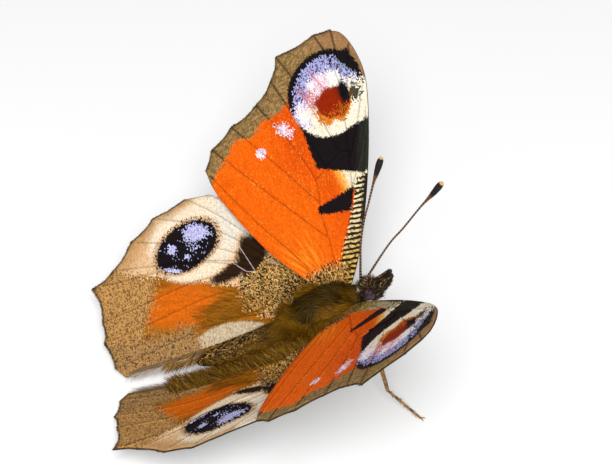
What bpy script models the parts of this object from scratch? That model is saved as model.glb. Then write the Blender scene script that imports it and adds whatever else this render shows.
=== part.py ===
"""A peacock butterfly, Aglais io, life size, standing with its wings half open.

The body points along +X, its left side is +Y and the floor it stands on is z = 0.
Body coordinates are measured from a point in the middle of the thorax. Wing outlines
are laid out flat, as (out, ahead): millimetres out from the hinge along the wing, and
millimetres ahead of it. Each wing is then bowed, raised and pitched into its pose.
"""

import math

import bmesh
import bpy
from mathutils import Matrix, Vector
from mathutils.geometry import delaunay_2d_cdt

MM = 0.001

# Thin cuts between nodes, and the smaller one round the eyes
GAP = 0.3 * MM
EYE_GAP = 0.2 * MM

# Height of the thorax's middle over the floor that the feet stand on
STANDING_HEIGHT = 9.8 * MM

# Thorax: (distance along it, radius), rear to front, taller than wide, nose up
THORAX_MIDDLE = (-0.1, 0.0, -1.1)
THORAX_PITCH = 25.0
THORAX_TALLNESS = 1.15
THORAX_PROFILE = (
    (-3.7, 0.5),
    (-3.3, 1.15),
    (-2.4, 1.7),
    (-1.1, 2.1),
    (0.4, 2.2),
    (1.9, 2.05),
    (2.9, 1.65),
    (3.4, 1.2),
    (3.7, 0.6),
)

# Abdomen: (x, z, radius), from inside the thorax back to the tip
ABDOMEN_RUN = (
    (-2.6, -2.5, 1.3),
    (-4.6, -3.9, 1.5),
    (-6.5, -4.7, 1.6),
    (-8.5, -5.3, 1.55),
    (-10.5, -5.9, 1.35),
    (-12.2, -6.45, 1.0),
    (-13.4, -6.85, 0.6),
    (-13.9, -7.0, 0.3),
)

ABDOMEN_STEPS = 3
ABDOMEN_WAIST = 0.94

# Head and what it carries
HEAD_MIDDLE = (4.5, 0.0, 1.05)
HEAD_HALF_SIZE = (1.15, 0.8, 1.2)
EYE_MIDDLE = (4.45, 0.92, 1.0)
EYE_HALF_SIZE = (0.74, 0.7, 0.8)
PALP_RUN = (
    (5.0, 0.55, 0.9, 0.38),
    (6.0, 0.56, 1.75, 0.4),
    (6.7, 0.45, 2.5, 0.3),
    (6.95, 0.36, 2.8, 0.16),
)
PROBOSCIS_MIDDLE = (6.1, 0.0, -0.2)
PROBOSCIS_RADIUS = 0.7
PROBOSCIS_THICKNESS = 0.5

# Feelers: (x, y, z) of a few points, then the radii of shaft, club and tip
ANTENNA_LEFT_RUN = (
    (3.8, 0.45, 1.7),
    (3.9, 1.2, 5.8),
    (4.3, 1.8, 8.5),
    (4.85, 2.3, 10.5),
    (5.4, 2.8, 12.6),
    (6.3, 3.5, 15.3),
)
ANTENNA_RIGHT_RUN = (
    (3.7, -0.45, 1.7),
    (6.3, -1.1, 7.3),
    (7.75, -1.6, 9.8),
    (9.3, -2.1, 12.6),
    (10.2, -2.35, 14.0),
    (11.4, -2.8, 16.1),
)
ANTENNA_SHAFT_RADIUS = 0.25
ANTENNA_CLUB_RADIUS = 0.45
ANTENNA_TIP_RADIUS = 0.2
ANTENNA_CLUB_LENGTH = 2.6

# Wings: hinge of the left one (x, y, z), nose-up pitch and raise over level, in degrees
FOREWING_HINGE = (2.6, 2.3, 0.0)
FOREWING_PITCH = 33.0
FOREWING_RAISE = 24.9
HINDWING_HINGE = (-0.6, 2.3, -1.6)
HINDWING_PITCH = 19.8
HINDWING_RAISE = 21.4

# Wing thickness on the membrane and over a vein, and a vein's half width
MEMBRANE = 0.5 * MM
VEIN = 0.9 * MM
VEIN_SIDE = 0.45
VEIN_STEPS = 4

# How near the rim, in millimetres, a vein's crest and its sides may come
CREST_MARGIN = 0.3
SIDE_MARGIN = 0.4

# Points closer than this are made one when a wing is laid out
LAYOUT_MERGE = 0.05

# Forewing margins, (out, ahead). The outer margin passes through the vein ends
FOREWING_COSTA = (
    (-1.0, -0.4),
    (-0.1, 1.0),
    (3.0, 3.4),
    (8.8, 6.9),
    (15.0, 10.0),
    (19.7, 11.8),
    (23.2, 12.1),
    (26.0, 11.6),
)
APEX = (27.2, 10.6)
FOREWING_VEIN_ENDS = (
    APEX,
    (27.9, 8.6),
    (28.4, 3.6),
    (26.1, 1.9),
    (24.5, -0.8),
    (23.8, -4.4),
    (22.6, -7.5),
    (20.6, -9.1),
)
FOREWING_INNER = (
    (17.6, -9.0),
    (12.8, -7.8),
    (7.3, -6.0),
    (3.0, -3.9),
    (0.6, -2.5),
    (-1.0, -2.0),
)
# Depth of the hollow after each vein end
FOREWING_SCALLOPS = (0.05, 0.25, 0.3, 0.3, 0.3, 0.25, 0.15)

# Hindwing margins
HINDWING_COSTA = (
    (-1.0, -0.7),
    (1.5, -0.4),
    (6.0, -0.2),
    (11.0, -1.8),
    (15.0, -4.6),
    (17.4, -7.9),
)
HINDWING_VEIN_ENDS = (
    (17.9, -10.6),
    (17.3, -14.8),
    (15.5, -17.9),
    (12.7, -20.6),
    (11.3, -23.3),
    (6.6, -23.0),
    (3.9, -23.3),
    (0.4, -22.8),
)
HINDWING_INNER = (
    (-0.9, -22.0),
    (-1.1, -20.0),
    (-0.9, -14.5),
    (-0.8, -9.0),
    (-0.7, -4.2),
    (-0.8, -2.6),
)
HINDWING_SCALLOPS = (0.15, 0.25, 0.25, 0.25, 0.4, 0.2, 0.2)

# Veins as (out, ahead) points from root to margin
FOREWING_VEINS = (
    ((-0.4, 0.2), (4.0, 3.7), (9.0, 6.5), (13.6, 9.1)),
    ((-0.7, -0.3), (4.0, 2.7), (9.0, 5.1), (13.2, 6.6), (18.0, 8.2), (22.5, 9.7), APEX),
    ((9.0, 5.1), (12.5, 7.9), (16.6, 10.5)),
    ((12.0, 6.2), (15.5, 8.8), (19.4, 11.4)),
    ((18.0, 8.2), (21.0, 10.1), (24.4, 11.8)),
    ((20.2, 8.9), (24.0, 9.1), (27.9, 8.6)),
    ((13.2, 6.6), (13.6, 5.6), (12.9, 3.6), (12.3, 1.9)),
    ((13.6, 5.6), (20.0, 5.2), (25.0, 4.3), (28.4, 3.6)),
    ((12.9, 3.6), (19.0, 2.9), (26.1, 1.9)),
    ((-0.8, -0.9), (4.0, 0.3), (8.5, 0.9), (12.3, 1.9), (18.0, 1.0), (24.5, -0.8)),
    ((9.8, 1.2), (16.0, -1.2), (23.8, -4.4)),
    ((5.5, 0.5), (12.0, -2.6), (18.0, -5.4), (22.6, -7.5)),
    ((-0.8, -1.9), (5.0, -3.4), (12.0, -6.2), (20.6, -9.1)),
)
HINDWING_VEINS = (
    ((-0.6, -1.1), (4.0, -0.9), (9.5, -2.2), (14.0, -5.2), (17.4, -7.9)),
    ((-0.6, -1.4), (3.5, -1.9), (9.0, -3.9), (14.0, -7.2), (17.9, -10.6)),
    ((5.5, -2.3), (10.0, -5.6), (14.0, -9.6), (17.3, -14.8)),
    ((7.6, -4.4), (11.5, -10.0), (15.5, -17.9)),
    ((7.4, -6.0), (10.0, -12.0), (11.3, -23.3)),
    ((-0.6, -1.8), (2.2, -2.9), (4.6, -4.8), (6.6, -7.0), (7.8, -13.0), (6.6, -23.0)),
    ((4.6, -4.8), (5.4, -12.0), (3.9, -23.3)),
    ((5.5, -2.3), (7.6, -4.4), (7.4, -6.0), (6.6, -7.0)),
    ((-0.5, -2.2), (1.2, -6.0), (2.0, -13.0), (0.4, -22.8)),
)

# Walking legs: (x, y, z, radius) from hip through knee and ankle to toe, left side
MIDDLE_LEG = (
    (0.6, 1.2, -2.6, 0.42),
    (4.4, 4.2, -2.6, 0.36),
    (5.6, 6.8, -7.5, 0.28),
    (8.7, 9.2, -9.58, 0.25),
)
HIND_LEG = (
    (-1.0, 0.8, -3.2, 0.42),
    (-4.2, 4.9, -6.75, 0.36),
    (-8.4, 6.4, -8.95, 0.28),
    (-12.0, 6.8, -9.58, 0.25),
)
# Length of foot that lies along the floor, and of the bend on each side of a joint
TOE_REST = 1.6
BEND = 0.45
LEG_SEGMENTS = ("femur", "tibia", "tarsus")
# The left middle foot stands a little further back than the right one
LEFT_MIDDLE_FOOT_SHIFT = (-0.9, -0.3, 0.0)
FORELEG_RUN = (
    (1.8, 0.9, -2.0, 0.34),
    (3.0, 1.1, -2.7, 0.32),
    (4.0, 1.05, -1.9, 0.3),
    (4.4, 1.0, -1.2, 0.25),
)

# Edges sharper than this stay sharp when shaded
SHARP_DEGREES = 50

COLOURS = {
    "fur": (0.16, 0.1, 0.035),
    "dark_fur": (0.05, 0.032, 0.018),
    "eye": (0.02, 0.013, 0.01),
    "feeler": (0.07, 0.035, 0.02),
    "wing": (0.62, 0.12, 0.02),
    "leg": (0.42, 0.22, 0.09),
}


def metres(point):
    return Vector(point) * MM


def mirrored(points):
    """The same points on the other side of the body."""
    return tuple((point[0], -point[1], *point[2:]) for point in points)


def spline(points, steps):
    """Points on a Catmull-Rom curve through the given ones, of any number of values each."""
    knots = [Vector(point) for point in points]
    knots = [2 * knots[0] - knots[1], *knots, 2 * knots[-1] - knots[-2]]
    curve = []
    for before, start, end, after in zip(knots, knots[1:], knots[2:], knots[3:]):
        for step in range(steps):
            t = step / steps
            slope = (end - before) * 0.5
            bend = before - 2.5 * start + 2 * end - 0.5 * after
            twist = 0.5 * (after - before) + 1.5 * (start - end)
            curve.append(start + slope * t + bend * t**2 + twist * t**3)
    curve.append(knots[-2])
    return curve


def material(name):
    """The Principled material of this name, made the first time."""
    if name in bpy.data.materials:
        return bpy.data.materials[name]
    made = bpy.data.materials.new(name)
    made.use_nodes = True
    shader = made.node_tree.nodes["Principled BSDF"]
    shader.inputs["Base Color"].default_value = (*COLOURS[name], 1.0)
    shader.inputs["Roughness"].default_value = 0.25 if name == "eye" else 0.8
    shader.inputs["Metallic"].default_value = 0.0
    return made


def add_object(name, mesh, collection, finish=None):
    made = bpy.data.objects.new(name, mesh)
    bpy.data.collections[collection].objects.link(made)
    if finish:
        mesh.materials.append(material(finish))
    if collection == "cutters":
        made.hide_render = True
        made.display_type = "WIRE"
    return made


def object_from_bmesh(name, bm, collection, finish=None):
    mesh = bpy.data.meshes.new(name)
    bm.to_mesh(mesh)
    bm.free()
    mesh.shade_smooth()
    mesh.set_sharp_from_angle(angle=math.radians(SHARP_DEGREES))
    return add_object(name, mesh, collection, finish)


def tube(name, path, radii, collection="butterfly", finish=None, rings=2):
    """A closed tube along a path, as thick as its radii. Path and radii are in metres."""
    curve = bpy.data.curves.new(name + "_path", "CURVE")
    curve.dimensions = "3D"
    curve.bevel_depth = 1.0
    curve.bevel_resolution = rings
    curve.use_fill_caps = True
    run = curve.splines.new("POLY")
    run.points.add(len(path) - 1)
    for point, place, radius in zip(run.points, path, radii):
        point.co = (*place, 1.0)
        point.radius = radius
    guide = add_object(name + "_path", curve, collection)
    bpy.context.view_layer.update()
    seen = guide.evaluated_get(bpy.context.evaluated_depsgraph_get())
    mesh = bpy.data.meshes.new_from_object(seen)
    bm = bmesh.new()
    bm.from_mesh(mesh)
    bmesh.ops.remove_doubles(bm, verts=bm.verts, dist=0.001 * MM)
    bmesh.ops.recalc_face_normals(bm, faces=bm.faces)
    made = object_from_bmesh(name, bm, collection, finish)
    made.matrix_world = guide.matrix_world.copy()
    bpy.data.objects.remove(guide)
    bpy.data.curves.remove(curve)
    bpy.data.meshes.remove(mesh)
    return made


def swept(name, run, steps, finish, rings=2):
    """A tube through (x, y, z, radius) points in millimetres."""
    curve = spline(run, steps)
    path = [metres(point.xyz) for point in curve]
    radii = [point.w * MM for point in curve]
    return tube(name, path, radii, finish=finish, rings=rings)


def ellipsoid(name, middle, half_size, finish, around=16, along=10):
    """A ball stretched to its half sizes, its poles along the body."""
    bm = bmesh.new()
    bmesh.ops.create_uvsphere(bm, u_segments=around, v_segments=along, radius=1.0)
    bmesh.ops.rotate(bm, verts=bm.verts, cent=(0, 0, 0), matrix=Matrix.Rotation(math.pi / 2, 3, "Y"))
    bmesh.ops.scale(bm, verts=bm.verts, vec=metres(half_size))
    bmesh.ops.translate(bm, verts=bm.verts, vec=metres(middle))
    return object_from_bmesh(name, bm, "butterfly", finish)


def clearance(node, gap):
    """A cutter that is the node grown by the gap all over."""
    bm = bmesh.new()
    bm.from_mesh(node.data)
    bm.normal_update()
    places = [vert.co + vert.normal * vert.calc_shell_factor() * gap for vert in bm.verts]
    for vert, place in zip(bm.verts, places):
        vert.co = place
    return object_from_bmesh(node.name + "_clearance", bm, "cutters")


def cut(node, *cutters):
    """Takes the cutters away from the node for good, and keeps its largest piece."""
    for cutter in cutters:
        boolean = node.modifiers.new("Cut", "BOOLEAN")
        boolean.operation = "DIFFERENCE"
        boolean.solver = "EXACT"
        boolean.object = cutter
    bpy.context.view_layer.objects.active = node
    for modifier in list(node.modifiers):
        bpy.ops.object.modifier_apply(modifier=modifier.name)
    keep_largest(node)


def keep_largest(node):
    """Deletes all but the closed surface that holds the most."""
    bm = bmesh.new()
    bm.from_mesh(node.data)
    left = set(bm.faces)
    pieces = []
    while left:
        piece = set()
        front = [left.pop()]
        while front:
            face = front.pop()
            piece.add(face)
            for edge in face.edges:
                for near in edge.link_faces:
                    if near in left:
                        left.remove(near)
                        front.append(near)
        pieces.append(piece)
    largest = max(pieces, key=lambda piece: sum(face.calc_area() for face in piece))
    bmesh.ops.delete(bm, geom=[face for face in bm.faces if face not in largest], context="FACES")
    bm.to_mesh(node.data)
    bm.free()


def smoothstep(t):
    t = min(1.0, max(0.0, t))
    return t * t * (3 - 2 * t)


def forewing_bow(out, ahead):
    """Height of the forewing over its flat layout."""
    bend = 0.0031 * ahead**2 + 0.0017 * out * ahead - 0.0005 * out**2
    return 0.38 + 0.016 * out - 0.0235 * ahead + bend


def hindwing_bow(out, ahead):
    """Height of the hindwing over its layout, its leading part tucked under the forewing."""
    tuck = 1.2 * smoothstep((ahead + 11.0) / 7.0) * smoothstep((out + 0.5) / 5.0)
    bend = 0.0084 * ahead**2 + 0.0085 * out * ahead + 0.0016 * out**2
    return 0.087 * out + 0.158 * ahead + bend - 0.38 - tuck


def thorax():
    """The chest: a round profile along the body, taller than wide, tipped nose up."""
    path = [metres((along, 0, 0)) for along, _ in THORAX_PROFILE]
    radii = [radius * MM for _, radius in THORAX_PROFILE]
    made = tube("thorax", path, radii, finish="fur", rings=5)
    tall = Matrix.Diagonal((1, 1, THORAX_TALLNESS, 1))
    tip = Matrix.Rotation(-math.radians(THORAX_PITCH), 4, "Y")
    made.data.transform(Matrix.Translation(metres(THORAX_MIDDLE)) @ tip @ tall)
    return made


def abdomen():
    """The hind body: a tapering tube with a slight waist between its segments."""
    curve = spline([(x, 0.0, z, radius) for x, z, radius in ABDOMEN_RUN], ABDOMEN_STEPS)
    path = [metres(point.xyz) for point in curve]
    radii = [point.w * MM for point in curve]
    for index in range(ABDOMEN_STEPS, len(radii) - 1, ABDOMEN_STEPS):
        radii[index] *= ABDOMEN_WAIST
    return tube("abdomen", path, radii, finish="dark_fur", rings=4)


def antenna(name, run):
    """A thin shaft that swells into a club just before its tip."""
    curve = [metres(point) for point in spline(run, 3)]
    distance = [0.0]
    for here, there in zip(curve, curve[1:]):
        distance.append(distance[-1] + (there - here).length)
    radii = []
    for along in distance:
        to_tip = (distance[-1] - along) / (ANTENNA_CLUB_LENGTH * MM)
        swell = math.sin(math.pi * min(1.0, max(0.0, 1.0 - to_tip)) ** 1.5)
        radii.append((ANTENNA_SHAFT_RADIUS + (ANTENNA_CLUB_RADIUS - ANTENNA_SHAFT_RADIUS) * swell) * MM)
    radii[-1] = ANTENNA_TIP_RADIUS * MM
    return tube(name, curve, radii, finish="feeler")


def scalloped(ends, depths, steps=4):
    """The outer margin: through each vein's end, hollowed between them."""
    margin = []
    for start, end, depth in zip(ends, ends[1:], depths):
        start, end = Vector(start), Vector(end)
        inwards = Vector((end.y - start.y, start.x - end.x)).normalized()
        for step in range(steps):
            t = step / steps
            margin.append(start.lerp(end, t) + inwards * depth * math.sin(math.pi * t))
    margin.append(Vector(ends[-1]))
    return margin


def distance_to_run(point, run):
    """How far a flat point is from a line of points."""
    nearest = math.inf
    for start, end in zip(run, run[1:]):
        along = end - start
        t = max(0.0, min(1.0, (point - start).dot(along) / along.length_squared))
        nearest = min(nearest, (point - start - along * t).length)
    return nearest


def inside(point, outline):
    """Whether a flat point lies inside the outline."""
    within = False
    for start, end in zip(outline, outline[1:] + outline[:1]):
        if (start.y > point.y) != (end.y > point.y):
            if point.x < (end.x - start.x) * (point.y - start.y) / (end.y - start.y) + start.x:
                within = not within
    return within


def well_inside(point, outline, margin):
    """Whether a flat point is in the outline and at least the margin from its rim."""
    return inside(point, outline) and distance_to_run(point, outline + outline[:1]) > margin


def vein_sides(runs, outline):
    """Points beside the veins, where the membrane's own thickness starts."""
    sides = []
    for run in runs:
        for before, here, after in zip(run, run[1:], run[2:]):
            along = (after - before).normalized()
            across = Vector((-along.y, along.x)) * VEIN_SIDE
            for point in (here + across, here - across):
                nearest = min(distance_to_run(point, other) for other in runs)
                if nearest > 0.8 * VEIN_SIDE and well_inside(point, outline, SIDE_MARGIN):
                    sides.append(point)
    return sides


def flat_wing(outline, veins):
    """Points and triangles of a wing laid flat, with how much each point is a vein's crest."""
    points = list(outline)
    edges = [(i, (i + 1) % len(outline)) for i in range(len(outline))]
    crest = [0.0] * len(points)
    runs = [spline(vein, VEIN_STEPS) for vein in veins]
    for run in runs:
        first = len(points)
        run = [point for point in run if well_inside(point, outline, CREST_MARGIN)]
        points += run
        crest += [1.0] * len(run)
        edges += [(first + i, first + i + 1) for i in range(len(run) - 1)]
    sides = vein_sides(runs, outline)
    points += sides
    crest += [0.0] * len(sides)
    spots, _, triangles, origins, _, _ = delaunay_2d_cdt(points, edges, [], 1, LAYOUT_MERGE)
    weights = [max((crest[i] for i in origin), default=1.0) for origin in origins]
    return spots, triangles, weights


def wing_pose(hinge, pitch, lift):
    """Turns the layout about the hinge, and moves it there."""
    turn = Matrix.Rotation(-math.radians(pitch), 4, "Y") @ Matrix.Rotation(math.radians(lift), 4, "X")
    return Matrix.Translation(metres(hinge)) @ turn


def wing(name, layout, bow, pose, side):
    """A bowed membrane with its veins raised on both faces."""
    spots, triangles, weights = layout
    bm = bmesh.new()
    deform = bm.verts.layers.deform.verify()
    for spot, weight in zip(spots, weights):
        place = pose @ metres((spot.y, spot.x, bow(spot.x, spot.y)))
        vert = bm.verts.new((place.x, place.y * side, place.z))
        vert[deform][0] = weight
    bm.verts.ensure_lookup_table()
    for triangle in triangles:
        bm.faces.new([bm.verts[i] for i in triangle])
    bmesh.ops.recalc_face_normals(bm, faces=bm.faces)
    made = object_from_bmesh(name, bm, "butterfly", "wing")
    made.vertex_groups.new(name="veins")
    wall = made.modifiers.new("Thickness", "SOLIDIFY")
    wall.thickness = VEIN
    wall.offset = 0.0
    wall.vertex_group = "veins"
    wall.thickness_vertex_group = MEMBRANE / VEIN
    return made


def forewing_outline():
    costa = spline(FOREWING_COSTA + (APEX,), 3)
    inner = spline((FOREWING_VEIN_ENDS[-1],) + FOREWING_INNER, 3)
    return costa[:-1] + scalloped(FOREWING_VEIN_ENDS, FOREWING_SCALLOPS) + inner[1:]


def hindwing_outline():
    costa = spline(HINDWING_COSTA, 3)
    inner = spline(HINDWING_INNER, 3)
    return costa + scalloped(HINDWING_VEIN_ENDS, HINDWING_SCALLOPS) + inner


def leg_run(points):
    """Smooth (x, y, z, radius) points of a leg, and the planes that part it at knee and ankle."""
    hip, knee, ankle, toe = [Vector(point) for point in points]
    flat = (toe - ankle).xyz
    flat.z = 0.0
    heel = Vector((*(toe.xyz - flat.normalized() * TOE_REST), toe.w))
    corners = [hip, knee, ankle, heel, toe]
    run = [hip]
    for before, here, after in zip(corners, corners[1:], corners[2:]):
        run.append(here.lerp(before, BEND / (here - before).length))
        run.append(here.lerp(after, BEND / (here - after).length))
    run.append(toe)
    planes = []
    for before, here, after in ((hip, knee, ankle), (knee, ankle, heel)):
        through = (after.xyz - here.xyz).normalized() + (here.xyz - before.xyz).normalized()
        middle = (run[len(planes) * 2 + 1].xyz + run[len(planes) * 2 + 2].xyz) / 2
        planes.append((metres(middle), through.normalized()))
    return run, planes


def trim(bm, point, away):
    """Cuts off what lies beyond the plane and closes the hole."""
    geometry = bm.verts[:] + bm.edges[:] + bm.faces[:]
    bmesh.ops.bisect_plane(bm, geom=geometry, plane_co=point, plane_no=away, clear_outer=True, dist=1e-8)
    rim = [edge for edge in bm.edges if edge.is_boundary]
    bmesh.ops.holes_fill(bm, edges=rim)


def leg(name, points, chest):
    """One leg in three nodes, parted at knee and ankle, its foot flat on the floor."""
    run, planes = leg_run(points)
    path = [metres(point.xyz) for point in run]
    radii = [point.w * MM for point in run]
    whole = tube(name, path, radii, "cutters")
    floor = Vector((0, 0, -STANDING_HEIGHT))
    for index, segment in enumerate(LEG_SEGMENTS):
        bm = bmesh.new()
        bm.from_mesh(whole.data)
        if index > 0:
            point, through = planes[index - 1]
            trim(bm, point + through * GAP / 2, -through)
        if index < 2:
            point, through = planes[index]
            trim(bm, point - through * GAP / 2, through)
        if segment == "tarsus":
            trim(bm, floor, Vector((0, 0, -1)))
        node = object_from_bmesh(f"{name}_{segment}", bm, "butterfly", "leg")
        if segment == "femur":
            cut(node, chest)
    bpy.data.objects.remove(whole)


def build_body():
    """Chest and abdomen, and the grown copies of them that part their neighbours."""
    chest = clearance(thorax(), GAP)
    hind_body = abdomen()
    belly = clearance(hind_body, GAP)
    cut(hind_body, chest)
    return chest, belly


def build_head(chest):
    head = ellipsoid("head", HEAD_MIDDLE, HEAD_HALF_SIZE, "dark_fur")
    near = clearance(head, GAP)
    eye_seat = clearance(head, EYE_GAP)
    cut(head, chest)
    for name, side in (("left", 1), ("right", -1)):
        middle = (EYE_MIDDLE[0], side * EYE_MIDDLE[1], EYE_MIDDLE[2])
        eye = ellipsoid("eye_" + name, middle, EYE_HALF_SIZE, "eye", around=14, along=8)
        orbit = clearance(eye, EYE_GAP)
        cut(eye, eye_seat, chest)
        palp = swept("palp_" + name, PALP_RUN if side > 0 else mirrored(PALP_RUN), 2, "dark_fur")
        cut(palp, near, orbit)
        feeler = antenna("antenna_" + name, ANTENNA_LEFT_RUN if side > 0 else ANTENNA_RIGHT_RUN)
        cut(feeler, near, orbit)
    cut(proboscis(), near)


def proboscis():
    """The coiled tongue as a thick round disc under the palps."""
    bm = bmesh.new()
    turn = Matrix.Translation(metres(PROBOSCIS_MIDDLE)) @ Matrix.Rotation(math.pi / 2, 4, "X")
    radius = PROBOSCIS_RADIUS * MM
    bmesh.ops.create_cone(
        bm,
        cap_ends=True,
        segments=16,
        radius1=radius,
        radius2=radius,
        depth=PROBOSCIS_THICKNESS * MM,
        matrix=turn,
    )
    return object_from_bmesh("proboscis", bm, "butterfly", "feeler")


def build_wings(chest, belly):
    fore_layout = flat_wing(forewing_outline(), FOREWING_VEINS)
    hind_layout = flat_wing(hindwing_outline(), HINDWING_VEINS)
    fore_pose = wing_pose(FOREWING_HINGE, FOREWING_PITCH, FOREWING_RAISE)
    hind_pose = wing_pose(HINDWING_HINGE, HINDWING_PITCH, HINDWING_RAISE)
    for name, side in (("left", 1), ("right", -1)):
        forewing = wing("forewing_" + name, fore_layout, forewing_bow, fore_pose, side)
        cut(forewing, chest)
        hindwing = wing("hindwing_" + name, hind_layout, hindwing_bow, hind_pose, side)
        cut(hindwing, chest, belly)


def build_legs(chest):
    left_middle = list(MIDDLE_LEG)
    left_middle[-1] = tuple(a + b for a, b in zip(MIDDLE_LEG[-1], LEFT_MIDDLE_FOOT_SHIFT + (0.0,)))
    leg("middle_leg_left", left_middle, chest)
    leg("middle_leg_right", mirrored(MIDDLE_LEG), chest)
    leg("hind_leg_left", HIND_LEG, chest)
    leg("hind_leg_right", mirrored(HIND_LEG), chest)
    cut(swept("foreleg_left", FORELEG_RUN, 2, "leg"), chest)
    cut(swept("foreleg_right", mirrored(FORELEG_RUN), 2, "leg"), chest)


def stand_on_floor():
    """Moves the whole butterfly so that it stands over the origin with its feet at z = 0."""
    nodes = bpy.data.collections["butterfly"].objects
    corners = [node.matrix_world @ Vector(corner) for node in nodes for corner in node.bound_box]
    middle_x = (min(corner.x for corner in corners) + max(corner.x for corner in corners)) / 2
    middle_y = (min(corner.y for corner in corners) + max(corner.y for corner in corners)) / 2
    for node in nodes:
        node.location = (-middle_x, -middle_y, STANDING_HEIGHT)


def clear_scene():
    for old in list(bpy.data.objects):
        bpy.data.objects.remove(old)


def main():
    clear_scene()
    for name in ("butterfly", "cutters"):
        bpy.context.scene.collection.children.link(bpy.data.collections.new(name))
    chest, belly = build_body()
    build_head(chest)
    build_wings(chest, belly)
    build_legs(chest)
    stand_on_floor()


main()
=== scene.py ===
# %% [markdown]
# A peacock butterfly stands on a pale floor with its wings half open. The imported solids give
# every size and place, and this script dresses them: scaled wings, silky hair, ringed
# feelers and spiny legs. Everything is in metres, in the same frame as the solids.

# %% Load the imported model
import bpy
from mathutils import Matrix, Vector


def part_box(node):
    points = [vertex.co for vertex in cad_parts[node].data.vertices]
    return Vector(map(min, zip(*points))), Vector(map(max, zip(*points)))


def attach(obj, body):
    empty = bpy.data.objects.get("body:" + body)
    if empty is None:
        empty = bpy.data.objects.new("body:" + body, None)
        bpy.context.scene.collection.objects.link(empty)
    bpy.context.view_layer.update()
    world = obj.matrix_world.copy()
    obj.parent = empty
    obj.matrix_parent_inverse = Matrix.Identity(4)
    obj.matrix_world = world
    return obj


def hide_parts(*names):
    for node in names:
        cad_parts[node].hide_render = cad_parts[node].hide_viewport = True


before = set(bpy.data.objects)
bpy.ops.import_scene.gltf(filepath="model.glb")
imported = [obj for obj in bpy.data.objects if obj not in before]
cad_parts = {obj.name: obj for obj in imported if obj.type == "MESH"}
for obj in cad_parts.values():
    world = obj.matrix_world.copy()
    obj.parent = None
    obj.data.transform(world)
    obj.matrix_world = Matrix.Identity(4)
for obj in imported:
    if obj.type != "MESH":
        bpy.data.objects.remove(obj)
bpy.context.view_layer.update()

# %% [markdown]
# The solids were laid out in millimetres round a point in the middle of the chest, with +X
# towards the head and +Y to the left. Repeating that frame here lets each new piece use the
# same numbers. The chest's box says where that point now is.

# %% Units and the body's own frame
import math
import random

import bpy
import numpy as np
from mathutils import Matrix, Vector, noise
from mathutils.geometry import delaunay_2d_cdt

MM = 0.001
STANDING_HEIGHT = 9.8
THORAX_MIDDLE = Vector((-0.1, 0.0, -1.1))

low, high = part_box("thorax")
ORIGIN = Vector(((low.x + high.x) / 2 / MM - THORAX_MIDDLE.x, 0.0, STANDING_HEIGHT))


def place(point):
    """A point of the body's frame, in millimetres, as a point of the scene."""
    return (ORIGIN + Vector(point)) * MM


print("body frame starts at", tuple(round(v, 2) for v in ORIGIN), "mm")

# %% [markdown]
# The camera stands where the photographer's did: above the butterfly's right side and a
# little behind it, far away and zoomed in, so that lines hardly converge. Its distance and
# lens come from matching the wings' known shape.

# %% Camera
CAMERA_PLACE = (-31.52, -192.6, 159.46)
CAMERA_AZIMUTH = -8.7
CAMERA_ELEVATION = 37.63
FOCAL_PIXELS = 2400
PICTURE_WIDTH = 612
SENSOR = 36.0
NEAREST, FARTHEST = 0.01, 5.0


def added(name, data):
    """A new object in the scene."""
    made = bpy.data.objects.new(name, data)
    bpy.context.scene.collection.objects.link(made)
    return made


def hang(name, data, where, aim):
    """Puts a camera or a lamp at a place, looking along a direction."""
    made = added(name, data)
    made.location = place(where)
    made.rotation_mode = "QUATERNION"
    made.rotation_quaternion = aim.to_track_quat("-Z", "Y")
    return made


lens = bpy.data.cameras.new("camera")
lens.sensor_fit = "HORIZONTAL"
lens.sensor_width = SENSOR
lens.lens = FOCAL_PIXELS / PICTURE_WIDTH * SENSOR
lens.clip_start, lens.clip_end = NEAREST, FARTHEST
turn, height = math.radians(CAMERA_AZIMUTH), math.radians(CAMERA_ELEVATION)
view = Vector((-math.sin(turn) * math.cos(height), math.cos(turn) * math.cos(height), -math.sin(height)))
bpy.context.scene.camera = hang("camera", lens, CAMERA_PLACE, view)
print("lens", round(lens.lens, 1), "mm")

# %% [markdown]
# Museum photographers light a specimen with one large soft lamp near the camera and a white
# tent all round. The lamp makes the wings that face it glow, and the tent fills the shadows.
# The floor glows faintly, as a lit white card does.

# %% Light and floor
LAMP_PLACE = (-60.0, -330.0, 330.0)
LAMP_SIZE = 0.22
LAMP_POWER = 2.15
TENT_STRENGTH = 0.32
FLOOR_SIZE = 3.0
FLOOR_WHITE = (0.9, 0.9, 0.9, 1.0)
FLOOR_ROUGHNESS = 0.9
FLOOR_GLOW = 0.235
PURE_WHITE = (1.0, 1.0, 1.0, 1.0)


def deselect():
    bpy.ops.object.select_all(action="DESELECT")


lamp = bpy.data.lights.new("key_lamp", "AREA")
lamp.shape = "DISK"
lamp.size = LAMP_SIZE
lamp.energy = LAMP_POWER
hang("key_lamp", lamp, LAMP_PLACE, place((0, 0, 0)) - place(LAMP_PLACE))
tent = bpy.data.worlds.new("tent")
tent.use_nodes = True
sky = tent.node_tree.nodes["Background"]
sky.inputs["Color"].default_value = PURE_WHITE
sky.inputs["Strength"].default_value = TENT_STRENGTH
bpy.context.scene.world = tent
bpy.context.scene.view_settings.view_transform = "Standard"

deselect()
bpy.ops.mesh.primitive_plane_add(size=FLOOR_SIZE, location=(0, 0, 0))
floor = bpy.context.object
floor.name = "floor"
card = bpy.data.materials.new("floor_card")
card.use_nodes = True
paper = card.node_tree.nodes["Principled BSDF"]
paper.inputs["Base Color"].default_value = FLOOR_WHITE
paper.inputs["Roughness"].default_value = FLOOR_ROUGHNESS
paper.inputs["Emission Color"].default_value = PURE_WHITE
paper.inputs["Emission Strength"].default_value = FLOOR_GLOW
floor.data.materials.append(card)
print("floor", FLOOR_SIZE, "m wide")

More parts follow.
